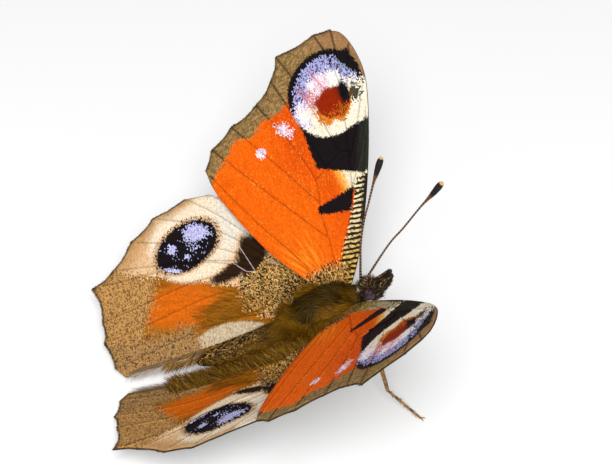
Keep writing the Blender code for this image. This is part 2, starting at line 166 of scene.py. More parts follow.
# %% [markdown]
# Every finish here is worked out by shader nodes. Writing the sums as Python is easier to
# read than wiring nodes by hand, so one small class stands for a socket: adding or
# multiplying two of them adds the Math node that does it.

# %% Shader values as numbers


class Signal:
    """One shader socket, which sums like a number."""

    def __init__(self, tree, socket):
        self.tree = tree
        self.socket = socket

    def node(self, kind, settings, sockets, output=0):
        return add_node(self.tree, kind, settings, sockets, output)

    def maths(self, operation, *values):
        return self.node("ShaderNodeMath", {"operation": operation}, dict(enumerate((self, *values))))

    def __add__(self, other):
        return self.maths("ADD", other)

    def __sub__(self, other):
        return self.maths("SUBTRACT", other)

    def __rsub__(self, other):
        return self.node("ShaderNodeMath", {"operation": "SUBTRACT"}, {0: other, 1: self})

    def __mul__(self, other):
        return self.maths("MULTIPLY", other)

    def __truediv__(self, other):
        return self.maths("DIVIDE", other)

    def __neg__(self):
        return self * -1.0

    __radd__ = __add__
    __rmul__ = __mul__

    def below(self, other):
        return self.maths("LESS_THAN", other)

    def least(self, other):
        return self.maths("MINIMUM", other)

    def most(self, other):
        return self.maths("MAXIMUM", other)

    def size(self):
        return self.maths("ABSOLUTE")

    def root(self):
        return self.maths("SQRT")

    def wave(self):
        return self.maths("SINE")

    def ramp(self, start, end):
        """A soft step from 0 at the start to 1 at the end."""
        sockets = {0: self, 1: start, 2: end}
        return self.node("ShaderNodeMapRange", {"interpolation_type": "SMOOTHSTEP"}, sockets)

    def fade(self, start, end):
        """A soft step from 1 at the start to 0 at the end."""
        return 1.0 - self.ramp(start, end)


def add_node(tree, kind, settings, sockets, output=0):
    """Adds a node, sets it up, fills its sockets with values or signals, and gives one output."""
    made = tree.nodes.new(kind)
    for name, value in settings.items():
        setattr(made, name, value)
    for name, value in sockets.items():
        if isinstance(value, Signal):
            tree.links.new(value.socket, made.inputs[name])
        else:
            made.inputs[name].default_value = value
    return Signal(tree, made.outputs[output])


def colour(rgb):
    return rgb if isinstance(rgb, Signal) else (*rgb, 1.0)


def blend(factor, first, second):
    """The first colour where the factor is 0, the second where it is 1."""
    sockets = {0: factor, 6: colour(first), 7: colour(second)}
    return add_node(factor.tree, "ShaderNodeMix", {"data_type": "RGBA"}, sockets, 2)


def shaded(paint, amount):
    """A colour made darker or lighter by a signal round 1."""
    sockets = {0: paint, "Scale": amount}
    return add_node(amount.tree, "ShaderNodeVectorMath", {"operation": "SCALE"}, sockets)


print("sums of shader values ready")

# %% [markdown]
# Every finish starts as a new material and ends with its signals plugged into the main
# shader. Between the two it reads places, noise, cells and the numbers kept on a mesh.

# %% Finishes and what they read


def finish(name):
    """A new material and its node tree."""
    made = bpy.data.materials.new(name)
    made.use_nodes = True
    return made, made.node_tree


def wired(look, paint, roughness, specular, height=None, strength=0.0, depth=0.0):
    """Plugs signals into a material's main shader; the bump's depth is in metres."""
    tree = look.node_tree
    shader = tree.nodes["Principled BSDF"]
    shader.inputs["Specular IOR Level"].default_value = specular
    tree.links.new(paint.socket, shader.inputs["Base Color"])
    tree.links.new(roughness.socket, shader.inputs["Roughness"])
    if height is not None:
        sockets = {"Strength": strength, "Distance": depth, "Height": height}
        tree.links.new(add_node(tree, "ShaderNodeBump", {}, sockets).socket, shader.inputs["Normal"])
    return look


def number_of(tree, name):
    """A number that each point of the mesh carries."""
    return add_node(tree, "ShaderNodeAttribute", {"attribute_name": name}, {}, 2)


def place_of(tree):
    return add_node(tree, "ShaderNodeTexCoord", {}, {}, 3)


def cells_of(tree, vector, scale):
    """Distance from the middle of the nearest cell."""
    return add_node(tree, "ShaderNodeTexVoronoi", {"feature": "F1"}, {"Vector": vector, "Scale": scale})


def noise_of(tree, vector, scale, detail=2.0):
    """Soft random blotches from 0 to 1."""
    sockets = {"Vector": vector, "Scale": scale, "Detail": detail}
    return add_node(tree, "ShaderNodeTexNoise", {"noise_dimensions": "3D"}, sockets)


def point_of(tree, x, y):
    return add_node(tree, "ShaderNodeCombineXYZ", {}, {0: x, 1: y})


def parts_of(vector):
    """The three numbers of a vector."""
    split = vector.tree.nodes.new("ShaderNodeSeparateXYZ")
    vector.tree.links.new(vector.socket, split.inputs[0])
    return [Signal(vector.tree, output) for output in split.outputs]


print("finishes can read places, noise, cells and kept numbers")

# %% [markdown]
# A butterfly's wing is one thin skin stretched over stiff tubes, the veins. Its outline is a
# few smooth runs through points that can be named: the leading edge, the vein ends with
# hollows between them, and the inner edge. Distances are millimetres out from the hinge and
# ahead of it.

# %% Wing outlines and veins
FOREWING_COSTA = (
    (-1.0, -0.4), (-0.1, 1.0), (3.0, 3.4), (8.8, 6.9), (15.0, 10.0), (19.7, 11.8), (23.2, 12.1),
    (26.0, 11.6),
)
APEX = (27.2, 10.6)
FOREWING_VEIN_ENDS = (
    APEX,
    (27.9, 8.6), (28.4, 3.6), (26.1, 1.9), (24.5, -0.8), (23.8, -4.4), (22.6, -7.5), (20.6, -9.1),
)
FOREWING_INNER = (
    (17.6, -9.0), (12.8, -7.8), (7.3, -6.0), (3.0, -3.9), (0.6, -2.5), (-1.0, -2.0),
)
FOREWING_SCALLOPS = (0.05, 0.25, 0.3, 0.3, 0.3, 0.25, 0.15)
HINDWING_COSTA = (
    (-1.0, -0.7), (1.5, -0.4), (6.0, -0.2), (11.0, -1.8), (15.0, -4.6), (17.4, -7.9),
)
HINDWING_VEIN_ENDS = (
    (17.9, -10.6), (17.3, -14.8), (15.5, -17.9), (12.7, -20.6), (11.3, -23.3), (6.6, -23.0),
    (3.9, -23.3), (0.4, -22.8),
)
HINDWING_INNER = (
    (-0.9, -22.0), (-1.1, -20.0), (-0.9, -14.5), (-0.8, -9.0), (-0.7, -4.2), (-0.8, -2.6),
)
HINDWING_SCALLOPS = (0.15, 0.25, 0.25, 0.25, 0.4, 0.2, 0.2)
FOREWING_VEINS = (
    ((-0.4, 0.2), (4.0, 3.7), (9.0, 6.5), (13.6, 9.1)),
    ((-0.7, -0.3), (4.0, 2.7), (9.0, 5.1), (13.2, 6.6), (18.0, 8.2), (22.5, 9.7), APEX),
    ((9.0, 5.1), (12.5, 7.9), (16.6, 10.5)),
    ((12.0, 6.2), (15.5, 8.8), (19.4, 11.4)),
    ((18.0, 8.2), (21.0, 10.1), (24.4, 11.8)),
    ((20.2, 8.9), (24.0, 9.1), (27.9, 8.6)),
    ((13.2, 6.6), (13.6, 5.6), (12.9, 3.6), (12.3, 1.9)),
    ((13.6, 5.6), (20.0, 5.2), (25.0, 4.3), (28.4, 3.6)),
    ((12.9, 3.6), (19.0, 2.9), (26.1, 1.9)),
    ((-0.8, -0.9), (4.0, 0.3), (8.5, 0.9), (12.3, 1.9), (18.0, 1.0), (24.5, -0.8)),
    ((9.8, 1.2), (16.0, -1.2), (23.8, -4.4)),
    ((5.5, 0.5), (12.0, -2.6), (18.0, -5.4), (22.6, -7.5)),
    ((-0.8, -1.9), (5.0, -3.4), (12.0, -6.2), (20.6, -9.1)),
)
HINDWING_VEINS = (
    ((-0.6, -1.1), (4.0, -0.9), (9.5, -2.2), (14.0, -5.2), (17.4, -7.9)),
    ((-0.6, -1.4), (3.5, -1.9), (9.0, -3.9), (14.0, -7.2), (17.9, -10.6)),
    ((5.5, -2.3), (10.0, -5.6), (14.0, -9.6), (17.3, -14.8)),
    ((7.6, -4.4), (11.5, -10.0), (15.5, -17.9)),
    ((7.6, -4.4), (10.6, -13.0), (12.7, -20.6)),
    ((7.4, -6.0), (10.0, -12.0), (11.3, -23.3)),
    ((-0.6, -1.8), (2.2, -2.9), (4.6, -4.8), (6.6, -7.0), (7.8, -13.0), (6.6, -23.0)),
    ((4.6, -4.8), (5.4, -12.0), (3.9, -23.3)),
    ((5.5, -2.3), (7.6, -4.4), (7.4, -6.0), (6.6, -7.0)),
    ((-0.5, -2.2), (1.2, -6.0), (2.0, -13.0), (0.4, -22.8)),
)
print(len(FOREWING_VEINS), "forewing veins,", len(HINDWING_VEINS), "hindwing veins")

# %% [markdown]
# A smooth curve through the named points gives each run, and the outer margin sinks between
# vein ends. Keeping the vein lines as edges lets each vein be raised exactly, which a plain
# grid can't do, so the wings are laid out in code.

# %% Smooth outlines


def spline(points, steps):
    """Points on a smooth curve through the given ones."""
    knots = [Vector(point) for point in points]
    knots = [2 * knots[0] - knots[1], *knots, 2 * knots[-1] - knots[-2]]
    curve = []
    for before, start, end, after in zip(knots, knots[1:], knots[2:], knots[3:]):
        for step in range(steps):
            t = step / steps
            slope = (end - before) * 0.5
            bend = before - 2.5 * start + 2 * end - 0.5 * after
            twist = 0.5 * (after - before) + 1.5 * (start - end)
            curve.append(start + slope * t + bend * t**2 + twist * t**3)
    curve.append(knots[-2])
    return curve


def scalloped(ends, depths, steps=12):
    """The outer margin, hollowed between vein ends and finely toothed."""
    margin = []
    for start, end, depth in zip(ends, ends[1:], depths):
        start, end = Vector(start), Vector(end)
        inwards = Vector((end.y - start.y, start.x - end.x)).normalized()
        for step in range(steps):
            t = step / steps
            tooth = 0.09 * noise.noise(Vector((start.x + step * 0.9, start.y, 0.0)))
            margin.append(start.lerp(end, t) + inwards * (depth * math.sin(math.pi * t) + tooth))
    margin.append(Vector(ends[-1]))
    return margin


def forewing_outline():
    costa = spline(FOREWING_COSTA + (APEX,), 5)
    inner = spline((FOREWING_VEIN_ENDS[-1],) + FOREWING_INNER, 5)
    return costa[:-1] + scalloped(FOREWING_VEIN_ENDS, FOREWING_SCALLOPS) + inner[1:]


def hindwing_outline():
    margin = scalloped(HINDWING_VEIN_ENDS, HINDWING_SCALLOPS)
    return spline(HINDWING_COSTA, 5) + margin + spline(HINDWING_INNER, 5)


print("forewing outline", len(forewing_outline()), "points, hindwing", len(hindwing_outline()))

# %% [markdown]
# The flat layout is then bowed, raised and pitched about the hinge into its pose. The front
# of the hindwing is tucked under the forewing, as on the living insect.

# %% Wing pose
FOREWING_HINGE = (2.6, 2.3, 0.0)
FOREWING_PITCH = 33.0
FOREWING_RAISE = 24.9
HINDWING_HINGE = (-0.6, 2.3, -1.6)
HINDWING_PITCH = 19.8
HINDWING_RAISE = 21.4


def smoothstep(t):
    t = np.clip(t, 0.0, 1.0)
    return t * t * (3 - 2 * t)


def forewing_bow(out, ahead):
    bend = 0.0031 * ahead**2 + 0.0017 * out * ahead - 0.0005 * out**2
    return 0.38 + 0.016 * out - 0.0235 * ahead + bend


def hindwing_bow(out, ahead):
    tuck = 1.2 * smoothstep((ahead + 11.0) / 7.0) * smoothstep((out + 0.5) / 5.0)
    bend = 0.0084 * ahead**2 + 0.0085 * out * ahead + 0.0016 * out**2
    return 0.087 * out + 0.158 * ahead + bend - 0.38 - tuck


def wing_pose(hinge, pitch, lift):
    turned = Matrix.Rotation(-math.radians(pitch), 4, "Y") @ Matrix.Rotation(math.radians(lift), 4, "X")
    return Matrix.Translation(hinge) @ turned


FOREWING = (wing_pose(FOREWING_HINGE, FOREWING_PITCH, FOREWING_RAISE), forewing_bow)
HINDWING = (wing_pose(HINDWING_HINGE, HINDWING_PITCH, HINDWING_RAISE), hindwing_bow)


def on_wing(wing, side, out, ahead):
    """A layout point on the posed wing, in the body's frame; side is 1 for left, -1 for right."""
    pose, bow = wing
    point = pose @ Vector((ahead, out, bow(out, ahead)))
    return Vector((point.x, point.y * side, point.z))


print("forewing tip at", tuple(round(v, 1) for v in on_wing(FOREWING, 1, *APEX)))

# %% [markdown]
# The skin of the wing is a triangulation of the outline, the vein lines, points beside each
# vein and a loose lattice between them. Points too near a vein or the outline are left out,
# so that few triangles are slivers.

# %% Wing layout
VEIN_SIDES = (0.13, 0.34)
LATTICE = 0.62
CREST_MARGIN = 0.12
SIDE_MARGIN = 0.18
LAYOUT_MERGE = 0.03


def distance_to_run(points, run):
    """How far each flat point is from a line of points."""
    nearest = np.full(len(points), np.inf)
    for start, end in zip(run, run[1:]):
        start, end = np.array(start), np.array(end)
        along = end - start
        t = np.clip(((points - start) @ along) / max(along @ along, 1e-12), 0, 1)
        nearest = np.minimum(nearest, np.linalg.norm(points - start - t[:, None] * along, axis=1))
    return nearest


def inside(points, outline):
    """Which flat points lie inside the outline."""
    within = np.zeros(len(points), bool)
    for start, end in zip(outline, outline[1:] + outline[:1]):
        crosses = (start.y > points[:, 1]) != (end.y > points[:, 1])
        drop = (end.y - start.y) or 1e-12
        at = (end.x - start.x) * (points[:, 1] - start.y) / drop + start.x
        within ^= crosses & (points[:, 0] < at)
    return within


def well_inside(points, outline, margin):
    points = np.array([tuple(point) for point in points])
    return inside(points, outline) & (distance_to_run(points, outline + outline[:1]) > margin)


def lattice_points(outline):
    """Evenly spread points over the outline's box, every other row shifted."""
    xs = [point.x for point in outline]
    ys = [point.y for point in outline]
    rows = np.arange(min(ys), max(ys), LATTICE * 0.87)
    columns = np.arange(min(xs), max(xs), LATTICE)
    grid = [(x + LATTICE / 2 * (i % 2), y) for i, y in enumerate(rows) for x in columns]
    return np.array(grid)


def flat_skin(outline, veins):
    """Points, triangles and crest weights of a wing laid flat."""
    points = [tuple(point) for point in outline]
    edges = [(i, (i + 1) % len(points)) for i in range(len(points))]
    crest = [0.0] * len(points)
    runs = [spline(vein, 10) for vein in veins]
    for run in runs:
        kept = [tuple(p) for p, good in zip(run, well_inside(run, outline, CREST_MARGIN)) if good]
        edges += [(len(points) + i, len(points) + i + 1) for i in range(len(kept) - 1)]
        points += kept
        crest += [1.0] * len(kept)
    beside = []
    for run in runs:
        for before, here, after in zip(run, run[1:], run[2:]):
            along = (after - before).normalized()
            across = Vector((-along.y, along.x))
            beside += [here + across * width * sign for width in VEIN_SIDES for sign in (1, -1)]
    beside = np.array([tuple(point) for point in beside])
    nearest = np.min([distance_to_run(beside, run) for run in runs], axis=0)
    keep = (nearest > 0.8 * VEIN_SIDES[0]) & well_inside(beside, outline, SIDE_MARGIN)
    between = lattice_points(outline)
    spaced = np.min([distance_to_run(between, run) for run in runs], axis=0) > 1.6 * VEIN_SIDES[1]
    filled = np.vstack([beside[keep], between[spaced & well_inside(between, outline, SIDE_MARGIN * 1.6)]])
    points += [tuple(point) for point in filled]
    crest += [0.0] * len(filled)
    flat = [Vector(point) for point in points]
    spots, _, triangles, origins, _, _ = delaunay_2d_cdt(flat, edges, [], 1, LAYOUT_MERGE)
    weights = [max((crest[i] for i in origin), default=1.0) for origin in origins]
    return np.array([tuple(spot) for spot in spots]), triangles, weights, runs


print("lattice points", LATTICE, "mm apart, veins edged at", VEIN_SIDES, "mm")

# %% [markdown]
# Each point of a wing remembers how far it is from a vein and from the outer margin, so that
# the finish can darken both. A Solidify modifier gives the skin its two faces, thicker along
# the veins.

# %% Wing skins
SKIN_THICKNESS = 0.16
VEIN_THICKNESS = 0.4
MAP_SPAN = 44.0
MAP_START = (-6.0, -27.0)


def add_number(mesh, name, values):
    """Keeps one number for each point of a mesh."""
    layer = mesh.attributes.new(name, "FLOAT", "POINT")
    layer.data.foreach_set("value", np.asarray(values, np.float32))


def only(made):
    """Selects one object alone and makes it active."""
    deselect()
    made.select_set(True)
    bpy.context.view_layer.objects.active = made


def apply(made, kind, **settings):
    """Adds a modifier and applies it."""
    step = made.modifiers.new(kind.title(), kind)
    for name, value in settings.items():
        setattr(step, name, value)
    only(made)
    bpy.ops.object.modifier_apply(modifier=step.name)


def wing_skin(name, skin, margin, wing, side, finishes):
    """One wing: a thin skin with raised veins, its upper and under sides finished apart."""
    spots, triangles, weights, runs = skin
    mesh = bpy.data.meshes.new(name)
    places = [place(on_wing(wing, side, *spot)) for spot in spots]
    mesh.from_pydata(places, [], [tuple(triangle) for triangle in triangles])
    if sum(face.normal.z for face in mesh.polygons) < 0:
        mesh.flip_normals()
    add_number(mesh, "vein", np.min([distance_to_run(spots, run) for run in runs], axis=0))
    add_number(mesh, "rim", distance_to_run(spots, margin))
    layout = mesh.uv_layers.new(name="layout")
    for loop in mesh.loops:
        spot = spots[loop.vertex_index]
        layout.data[loop.index].uv = [(spot[i] - MAP_START[i]) / MAP_SPAN for i in range(2)]
    for look in finishes:
        mesh.materials.append(look)
    made = added(name, mesh)
    group = made.vertex_groups.new(name="veins")
    for index, weight in enumerate(weights):
        group.add([index], weight, "REPLACE")
    apply(
        made,
        "SOLIDIFY",
        thickness=VEIN_THICKNESS * MM,
        offset=0.0,
        vertex_group="veins",
        thickness_vertex_group=SKIN_THICKNESS / VEIN_THICKNESS,
        material_offset=1,
        material_offset_rim=1,
    )
    bpy.ops.object.shade_smooth()
    bake_map(made.data)
    return made


def bake_map(mesh):
    """A second map with the two sides apart, for baking."""
    layout = mesh.uv_layers["layout"]
    islands = mesh.uv_layers.new(name="OFBake")
    for face in mesh.polygons:
        for index in face.loop_indices:
            u, v = layout.data[index].uv
            islands.data[index].uv = (0.01 + 0.6 * u, 0.01 + 0.48 * v + 0.5 * face.material_index)


def stands_for(made, slot, *nodes):
    """Hangs a piece on the root and hides the solids it replaces; the slot is not used."""
    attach(made, "root")
    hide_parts(*nodes)


print("thickness", SKIN_THICKNESS, "mm, veins", VEIN_THICKNESS, "mm")

# %% [markdown]
# Wing colour sits in tens of thousands of tiny scales, each of one colour, laid in rows like
# roof tiles. A Voronoi pattern stretched to a scale's shape gives each scale a middle, a
# random number and a slope. The markings are asked for at the scale's middle, never at the
# point itself, so every edge comes out as ragged as on a real wing.

# %% Scales
SCALE_LENGTH = 0.17
SCALE_WIDTH = 0.1
SCALE_SCATTER = 0.22


class WingScales:
    """What the finish of a wing knows at a point, in the layout's millimetres."""

    def __init__(self, tree):
        self.tree = tree
        flat = add_node(tree, "ShaderNodeUVMap", {"uv_map": "layout"}, {})
        u, v, _ = parts_of(flat)
        self.true_out = u * MAP_SPAN + MAP_START[0]
        self.true_ahead = v * MAP_SPAN + MAP_START[1]
        cells = point_of(tree, self.true_out / SCALE_LENGTH, self.true_ahead / SCALE_WIDTH)
        settings = {"voronoi_dimensions": "2D", "feature": "F1"}
        middle = add_node(tree, "ShaderNodeTexVoronoi", settings, {"Vector": cells, "Scale": 1.0}, 2)
        voronoi = middle.socket.node
        column, row, _ = parts_of(middle)
        self.chance, self.tone, self.pick = parts_of(Signal(tree, voronoi.outputs["Color"]))
        self.out = column * SCALE_LENGTH + (self.chance - 0.5) * SCALE_SCATTER
        self.ahead = row * SCALE_WIDTH + (self.pick - 0.5) * SCALE_SCATTER
        self.slope = self.true_out / SCALE_LENGTH - column
        self.vein = number_of(tree, "vein")
        self.rim = number_of(tree, "rim")
        self.flat = point_of(tree, self.true_out, self.true_ahead)
        self.wander = noise_of(tree, self.flat, 0.55, 1.0) - 0.5

    def line(self, out_part, ahead_part, start):
        """out_part * out + ahead_part * ahead + start."""
        return self.ahead.maths("MULTIPLY_ADD", ahead_part, self.out.maths("MULTIPLY_ADD", out_part, start))

    def side_of(self, start, end):
        """Distance from the line through two points, positive on its right."""
        along = Vector(end) - Vector(start)
        along.normalize()
        return self.line(along.y, -along.x, along.x * start[1] - along.y * start[0])

    def hairline(self, points, width):
        """1 on a thin line through points, smooth because it ignores the scales."""
        found = 0.0
        for start, end in zip(points, points[1:]):
            along = Vector(end) - Vector(start)
            span = along.length
            along.normalize()
            before = along.dot(Vector(start))
            aside = along.x * start[1] - along.y * start[0]
            ahead_of = self.true_out * along.x + self.true_ahead * along.y - before
            beside = self.true_out * along.y - self.true_ahead * along.x + aside
            past = (ahead_of - span / 2).size() - span / 2
            on = beside.size().most(past).fade(width * 0.5, width)
            found = on.most(found)
        return found

    def ring(self, middle, radii, turned=0.0):
        """0 at an ellipse's middle and 1 on its rim."""
        c, s = math.cos(math.radians(turned)), math.sin(math.radians(turned))
        first = self.line(c / radii[0], s / radii[0], -(c * middle[0] + s * middle[1]) / radii[0])
        second = self.line(-s / radii[1], c / radii[1], (s * middle[0] - c * middle[1]) / radii[1])
        return second.maths("MULTIPLY_ADD", second, first * first).root()

    def streaks(self, along, across, scale=1.0):
        """Blotches drawn out along the wing."""
        stretched = point_of(self.tree, self.true_out * along, self.true_ahead * across)
        return noise_of(self.tree, stretched, scale)

    def fan(self, root, across, along, forward):
        """Blotches drawn out in rays from a point near the wing's root."""
        out, ahead = self.true_out - root[0], self.true_ahead - root[1]
        ratio = ahead / out if forward else out / -ahead
        rays = point_of(self.tree, ratio * across, (out if forward else ahead) * along)
        return noise_of(self.tree, rays, 1.0)

    def dabs(self, paint, colour, spots, start, end):
        """Scattered patches of a colour; each spot is (middle, radii, turn, density)."""
        for middle, radii, turned, density in spots:
            glow = self.ring(middle, radii, turned).fade(start, end)
            paint = blend(self.tone.below(glow * density), paint, colour)
        return paint

    def sparse(self, density):
        """1 on the share of scales that the density gives."""
        return self.chance.below(density)


print("one scale is", SCALE_LENGTH, "by", SCALE_WIDTH, "mm")

# %% [markdown]
# The forewing is fiery orange, deeper towards the tip and with golden rays and speckled
# scales at the root. Its colours are kept together here, as linear red, green and blue.

# %% Forewing colours
ORANGE = (0.87, 0.122, 0.002)
ORANGE_FLECK = (0.95, 0.27, 0.02)
ROOT_GOLD = (0.88, 0.3, 0.02)
DEEP_ORANGE = (0.68, 0.068, 0.002)
BLACK = (0.009, 0.006, 0.007)
BAR_EDGE = (0.024, 0.026, 0.017)
CREAM = (0.9, 0.78, 0.56)
YELLOW = (0.86, 0.42, 0.06)
WINE = (0.28, 0.018, 0.001)
DARK_WINE = (0.09, 0.01, 0.004)
LILAC = (0.4, 0.4, 0.72)
PINK = (0.78, 0.46, 0.6)
WHITE = (0.92, 0.86, 0.88)
RED_LINE = (0.66, 0.09, 0.02)
OLIVE = (0.23, 0.135, 0.045)
OLIVE_DARK = (0.09, 0.055, 0.022)
OLIVE_LIGHT = (0.42, 0.26, 0.095)
BORDER_PINK = (0.4, 0.2, 0.09)
STRIP_CREAM = (0.88, 0.76, 0.45)
STRIP_GOLD = (0.75, 0.47, 0.08)
GOLD = (0.72, 0.4, 0.1)
TAN = (0.66, 0.4, 0.19)
BASE_DARK = (0.025, 0.016, 0.01)
MARGIN_DARK = (0.03, 0.018, 0.01)


def speckled_base(scales, dark_share):
    """Gold, tan and black scales mixed, as at the wing roots."""
    light = blend(scales.tone, TAN, GOLD)
    return blend(scales.sparse(dark_share), light, BASE_DARK)


def forewing_ground(scales):
    fan = scales.fan((-0.8, -1.0), 19.0, 0.3, True)
    deep = (scales.out.ramp(9.0, 16.0) * scales.ahead.ramp(-2.5, 1.5)).most(scales.ahead.ramp(0.0, 2.5) * 0.7)
    ground = blend(deep * 0.8, ORANGE, DEEP_ORANGE)
    rays = scales.side_of((0.0, -0.9), (12.0, 0.3)).ramp(-0.2, 0.8) * scales.out.fade(3.0, 11.0)
    ground = blend(rays * fan.ramp(0.38, 0.68) * 0.75, ground, ROOT_GOLD)
    ground = shaded(ground, 0.8 + 0.4 * fan)
    ground = blend(scales.sparse(0.12) * 0.4, ground, ORANGE_FLECK)
    flecks = scales.sparse(0.07) * scales.vein.fade(0.1, 0.7) * scales.out.ramp(8.0, 12.0)
    ground = blend(flecks * 0.5, ground, YELLOW)
    near_root = 1.0 - scales.line(1.0, 0.15, 0.0).ramp(0.9, 2.9)
    return blend(scales.tone.below(near_root), ground, speckled_base(scales, 0.4))


print("orange ground from", ORANGE, "to", DEEP_ORANGE)

# %% [markdown]
# Along the front of the forewing run a dark wedge, a cream patch and a broad black bar, with
# a strip of cream bars on black before them. The wedge and the bar are cut out by straight
# edges: the smallest of several distances is positive only inside all of them.

# %% Bars and leading edge
COSTA_SLOPE = (0.484, 0.875)


def forewing_bar(scales, paint, costa):
    """The dark wedge, the cream patch and the black bar behind the leading edge."""
    left = -scales.side_of((6.8, 4.2), (8.5, 0.6))
    top = scales.side_of((7.0, 4.05), (9.1, 5.5))
    bar_left = -scales.side_of((10.2, 6.8), (13.6, 2.4))
    bar = bar_left.least(scales.out - 10.05)
    beyond_wedge = scales.out.ramp(8.9, 9.3)
    cream = scales.ahead.ramp(4.5, 5.5) * beyond_wedge * scales.out.fade(12.6, 13.2)
    yellow = scales.ahead.ramp(3.7, 4.8) * beyond_wedge * scales.out.fade(12.6, 13.2)
    paint = blend(yellow, paint, YELLOW)
    paint = blend(cream, paint, CREAM)
    wedge = left.least(top).least(9.35 - scales.out).least(scales.ahead - 0.7)
    paint = blend(wedge.ramp(-0.08, 0.12), paint, BLACK)
    bottom = scales.line(-0.05, 1.0, -1.86)
    dark = blend(costa.ramp(0.5, 1.5), BAR_EDGE, BLACK)
    return blend(bar.least(bottom).ramp(-0.05, 0.08), paint, dark)


def leading_edge(scales, paint, costa):
    """The strip of cream bars on black, wider towards the root."""
    along = scales.true_out * COSTA_SLOPE[1] + scales.true_ahead * COSTA_SLOPE[0]
    wobble = scales.streaks(1.1, 1.1) * 5.0
    stripes = (along * 11.2 + wobble + costa * 1.4).wave().ramp(-0.3, 0.15)
    strip = blend(scales.out.ramp(1.0, 7.5), STRIP_GOLD, STRIP_CREAM)
    strip = blend(stripes.most(costa.fade(0.03, 0.16)), strip, BASE_DARK)
    strip = blend(scales.sparse(0.12), strip, BASE_DARK)
    inner = costa - (8.0 - scales.out).most(0.0) * 0.2
    reach = inner.fade(0.85, 1.3) * scales.out.fade(9.6, 10.1)
    return blend(scales.tone.below(reach), paint, strip)


print("bars and leading edge described")

# %% [markdown]
# The eyespot scares birds away. It has a wine-red middle in cream, pink and lilac, closed by
# a black crescent towards the tip. Scales of the next colour are strewn in where two meet, so
# each edge asks the scale's own random number whether that scale changes colour.

# %% Forewing eyespot
EYESPOT_LIGHTS = (
    ((22.75, 5.75), (0.5, 0.4), 0.0, 1.2),
    ((21.9, 8.6), (1.1, 1.0), 0.0, 0.8),
    ((20.0, 3.6), (1.3, 0.6), 0.0, 0.7),
)


def eyespot(scales, paint):
    """The great eyespot near the forewing tip."""
    across = ((scales.out - 21.3) / 4.75).most((21.3 - scales.out) / 5.75)
    up = (scales.ahead - 7.15) / 4.65
    reach = up.maths("MULTIPLY_ADD", up, across * across).root()
    towards_tip = scales.line(1.0, 0.12, -22.0)
    corner = scales.out.ramp(15.45, 15.65) * scales.ahead.ramp(7.8, 8.4) * scales.out.fade(19.5, 20.5)
    disc = reach.fade(0.97, 1.02).most(corner)
    spot = blend(scales.tone, CREAM, (0.94, 0.86, 0.72))
    pink = scales.line(1.0, -0.3, -18.7).ramp(-0.6, 1.0) * scales.ahead.fade(7.6, 9.2)
    low = scales.ahead.fade(3.4, 4.8) * scales.out.ramp(17.4, 18.8)
    spot = blend(scales.tone.below(pink.most(low * 0.75)), spot, blend(scales.pick, PINK, WHITE))
    lilac_zone = reach.ramp(0.3, 0.6) * towards_tip.ramp(-0.9, 0.9)
    spot = blend(scales.tone.below(lilac_zone.most(low * 0.35)), spot, LILAC)
    green = scales.ring((22.7, 10.8), (1.5, 0.8), -25.0)
    spot = blend(green.fade(0.5, 1.2) * 0.8, spot, (0.09, 0.24, 0.23))
    black = (reach.ramp(0.68, 0.97) * towards_tip.ramp(-2.2, 0.9)) * 1.2
    front = scales.ahead.ramp(8.6, 10.4) * reach.ramp(0.62, 0.86) * scales.out.ramp(20.6, 22.0)
    black = black.most(front * 1.2)
    spot = blend(scales.chance.below(black.most(lilac_zone * 0.36) - 0.05), spot, BLACK)
    flush = scales.ring((20.9, 5.6), (2.1, 1.1), -8.0)
    spot = blend(scales.chance.below(flush.fade(0.3, 1.2) * 0.6), spot, (0.66, 0.2, 0.18))
    red = scales.hairline(((20.8, 7.2), (22.6, 6.8), (24.2, 6.4)), 0.15)
    red = red.most(scales.hairline(((18.8, 5.0), (21.0, 4.75), (23.4, 4.2)), 0.15))
    spot = blend(red * 0.6, spot, RED_LINE)
    spot = scales.dabs(spot, WHITE, EYESPOT_LIGHTS, 0.5, 1.2)
    heart = scales.ring((19.45, 7.35), (2.2, 2.1), -12.0) + scales.wander * 0.9
    fringe = heart.fade(1.0, 1.24) * scales.out.fade(18.6, 20.2)
    rim = blend(scales.tone, (0.8, 0.3, 0.03), (0.6, 0.13, 0.01))
    spot = blend(scales.pick.below(fringe * 1.3), spot, rim)
    wine = blend(scales.ahead.ramp(7.6, 9.0), WINE, DARK_WINE)
    wine = blend(scales.chance.below(scales.out.fade(17.6, 19.2) * 0.6), wine, (0.5, 0.12, 0.01))
    spot = blend(heart.fade(0.9, 1.04), spot, wine)
    blot = scales.ring((19.75, 9.0), (1.4, 0.62), 6.0)
    spot = blend(blot.fade(0.75, 1.1), spot, BLACK)
    smudge = scales.ring((18.9, 10.15), (1.35, 0.9), 0.0)
    spot = blend(scales.tone.below(smudge.fade(0.3, 1.25) * 0.95), spot, (0.06, 0.06, 0.035))
    return blend(disc, paint, spot), disc


print("eyespot described")

# %% [markdown]
# A mottled olive border and white dots finish the forewing. Every wing also gets thin
# dark veins, a dark rim and a slightly tilted surface on each scale.

# %% Border, dots and the whole forewing
WHITE_DOTS = (
    ((19.75, 1.05), (1.7, 0.8), -32.0, 0.85),
    ((19.95, 0.8), (0.75, 0.5), -20.0, 1.3),
    ((18.85, -2.5), (0.72, 0.66), 0.0, 2.2),
    ((20.4, -7.7), (0.6, 0.5), 0.0, 0.35),
)


